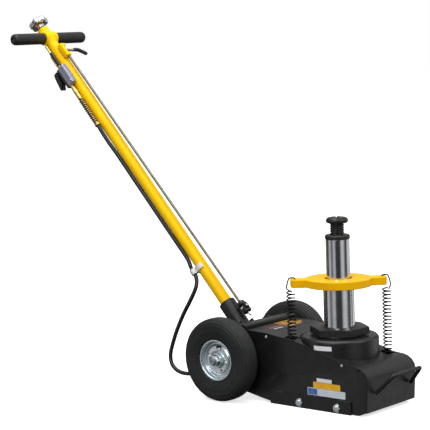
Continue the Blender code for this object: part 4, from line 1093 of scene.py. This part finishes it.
work = addMesh(bmesh.new(), grown(coil, {"Turns": height / relief["pitch"], "Coil radius": 0.0068,
                                         "Height": height, "Wire radius": relief["wire"], "Steps": 20,
                                         "Material": machinedBrass[0]}),
               leaning @ Matrix.Translation((0, 0, relief["low"] + relief["wire"])))
ring = [(0.0054, 0.7340), (0.0076, 0.7340), (0.0080, 0.7350), (0.0080, 0.7380), (0.0076, 0.7390),
        (0.0054, 0.7390)]
turn(work, ring, 32, leaning, ring=True)
piece("hose_relief_piece", meshOf(work, "relief", 60, outwards=False), machinedBrass, "handle",
      stands=("hose_relief_spring",))
core = [(0, 0.7345), (0.0056, 0.7345), (0.0058, 0.7365), (0.0058, 0.8215), (0.0050, 0.8237), (0, 0.8237)]
piece("hose_relief_core", lathed(core, 24, leaning), gripRubber, "handle")

# White clip that holds the hose on the tube
arc = [radians(-205 + 160 * step / 24) for step in range(25)]
outside = [(0.0190 * cos(a), 0.0190 * sin(a)) for a in arc]
inside = [(0.0152 * cos(a), 0.0152 * sin(a)) for a in arc[::-1]]
work = prism(bmesh.new(), outside + inside, 0.2510, 0.2650, handleFrame)
eyeRing = [(0.0084, 0.2650), (0.0084, 0.2510), (0.0056, 0.2510), (0.0056, 0.2650)]
turn(work, rounded(eyeRing, 0.0006), 32, handleFrame @ Matrix.Translation((-0.0188, -0.0178, 0)), ring=True)
standIn("hose_clip", meshOf(work, "clip"), whiteNylon, "handle")
print("valve and hose fittings done")

# Blank labels on the near side, the housing and the cover
def label(name, colour, low, high, y=-0.0955, radius=0.0015):
    work = prism(bmesh.new(), roundedBox(low, high, radius), y - 0.00035, y + 0.0001, along="Y")
    piece(name, meshOf(work, name), vinyl[colour], "chassis")


label("side_label_white", "white", (0.0020, 0.0662), (0.0450, 0.0750))
label("side_label_amber", "amber", (-0.0080, 0.0515), (0.0690, 0.0655))
label("side_label_pale", "pale", (-0.0250, 0.0340), (0.0830, 0.0510))
label("side_label_blue", "blue", (-0.0235, 0.0355), (0.0030, 0.0495), y=-0.09583)
around = [radians(-94 + 28.5 * step / 12) for step in range(13)]
outline = [(0.09195 * cos(a), 0.09195 * sin(a)) for a in around]
outline += [(0.0912 * cos(a), 0.0912 * sin(a)) for a in reversed(around)]
piece("housing_label", slab(outline, 0.1390, 0.1495), vinyl["white"], "chassis")


def coverPatch(name, finish, patches, rise):
    # lies along the slope of the cover's rear part
    work = bmesh.new()
    for low, high in patches:
        prism(work, roundedBox(low, high, 0.0008), 0, 0.0003)
    for spot in work.verts:
        kink = -0.146
        slope = -0.0351 if spot.co.x < kink else -0.1389
        spot.co.z += 0.1660 + slope * (spot.co.x - kink) + rise
    piece(name, meshOf(work, name), finish, "chassis")


coverPatch("cover_label_rear", vinyl["dark"], [((-0.2020, -0.0560), (-0.1465, 0.0820))], 0.00005)
lines = [((-0.198 + 0.0085 * step, 0.002), (-0.1955 + 0.0085 * step, 0.074 - 0.011 * (step % 3)))
         for step in range(6)]
coverPatch("cover_label_lines", vinyl["amber"], lines, 0.0003)
coverPatch("cover_label_stripe", vinyl["orange"], [((-0.1720, -0.0520), (-0.1690, -0.0080))], 0.0003)
coverPatch("cover_label_small", vinyl["pale"], [((-0.1590, -0.0500), (-0.1555, -0.0150))], 0.0003)

# What stays from the CAD gets its own finish
kept = {"stage1_seal": gripRubber, "air_piston": turnedSteel}
for node, (material, slot) in kept.items():
    nodes[node].data.materials.clear()
    nodes[node].data.materials.append(material)
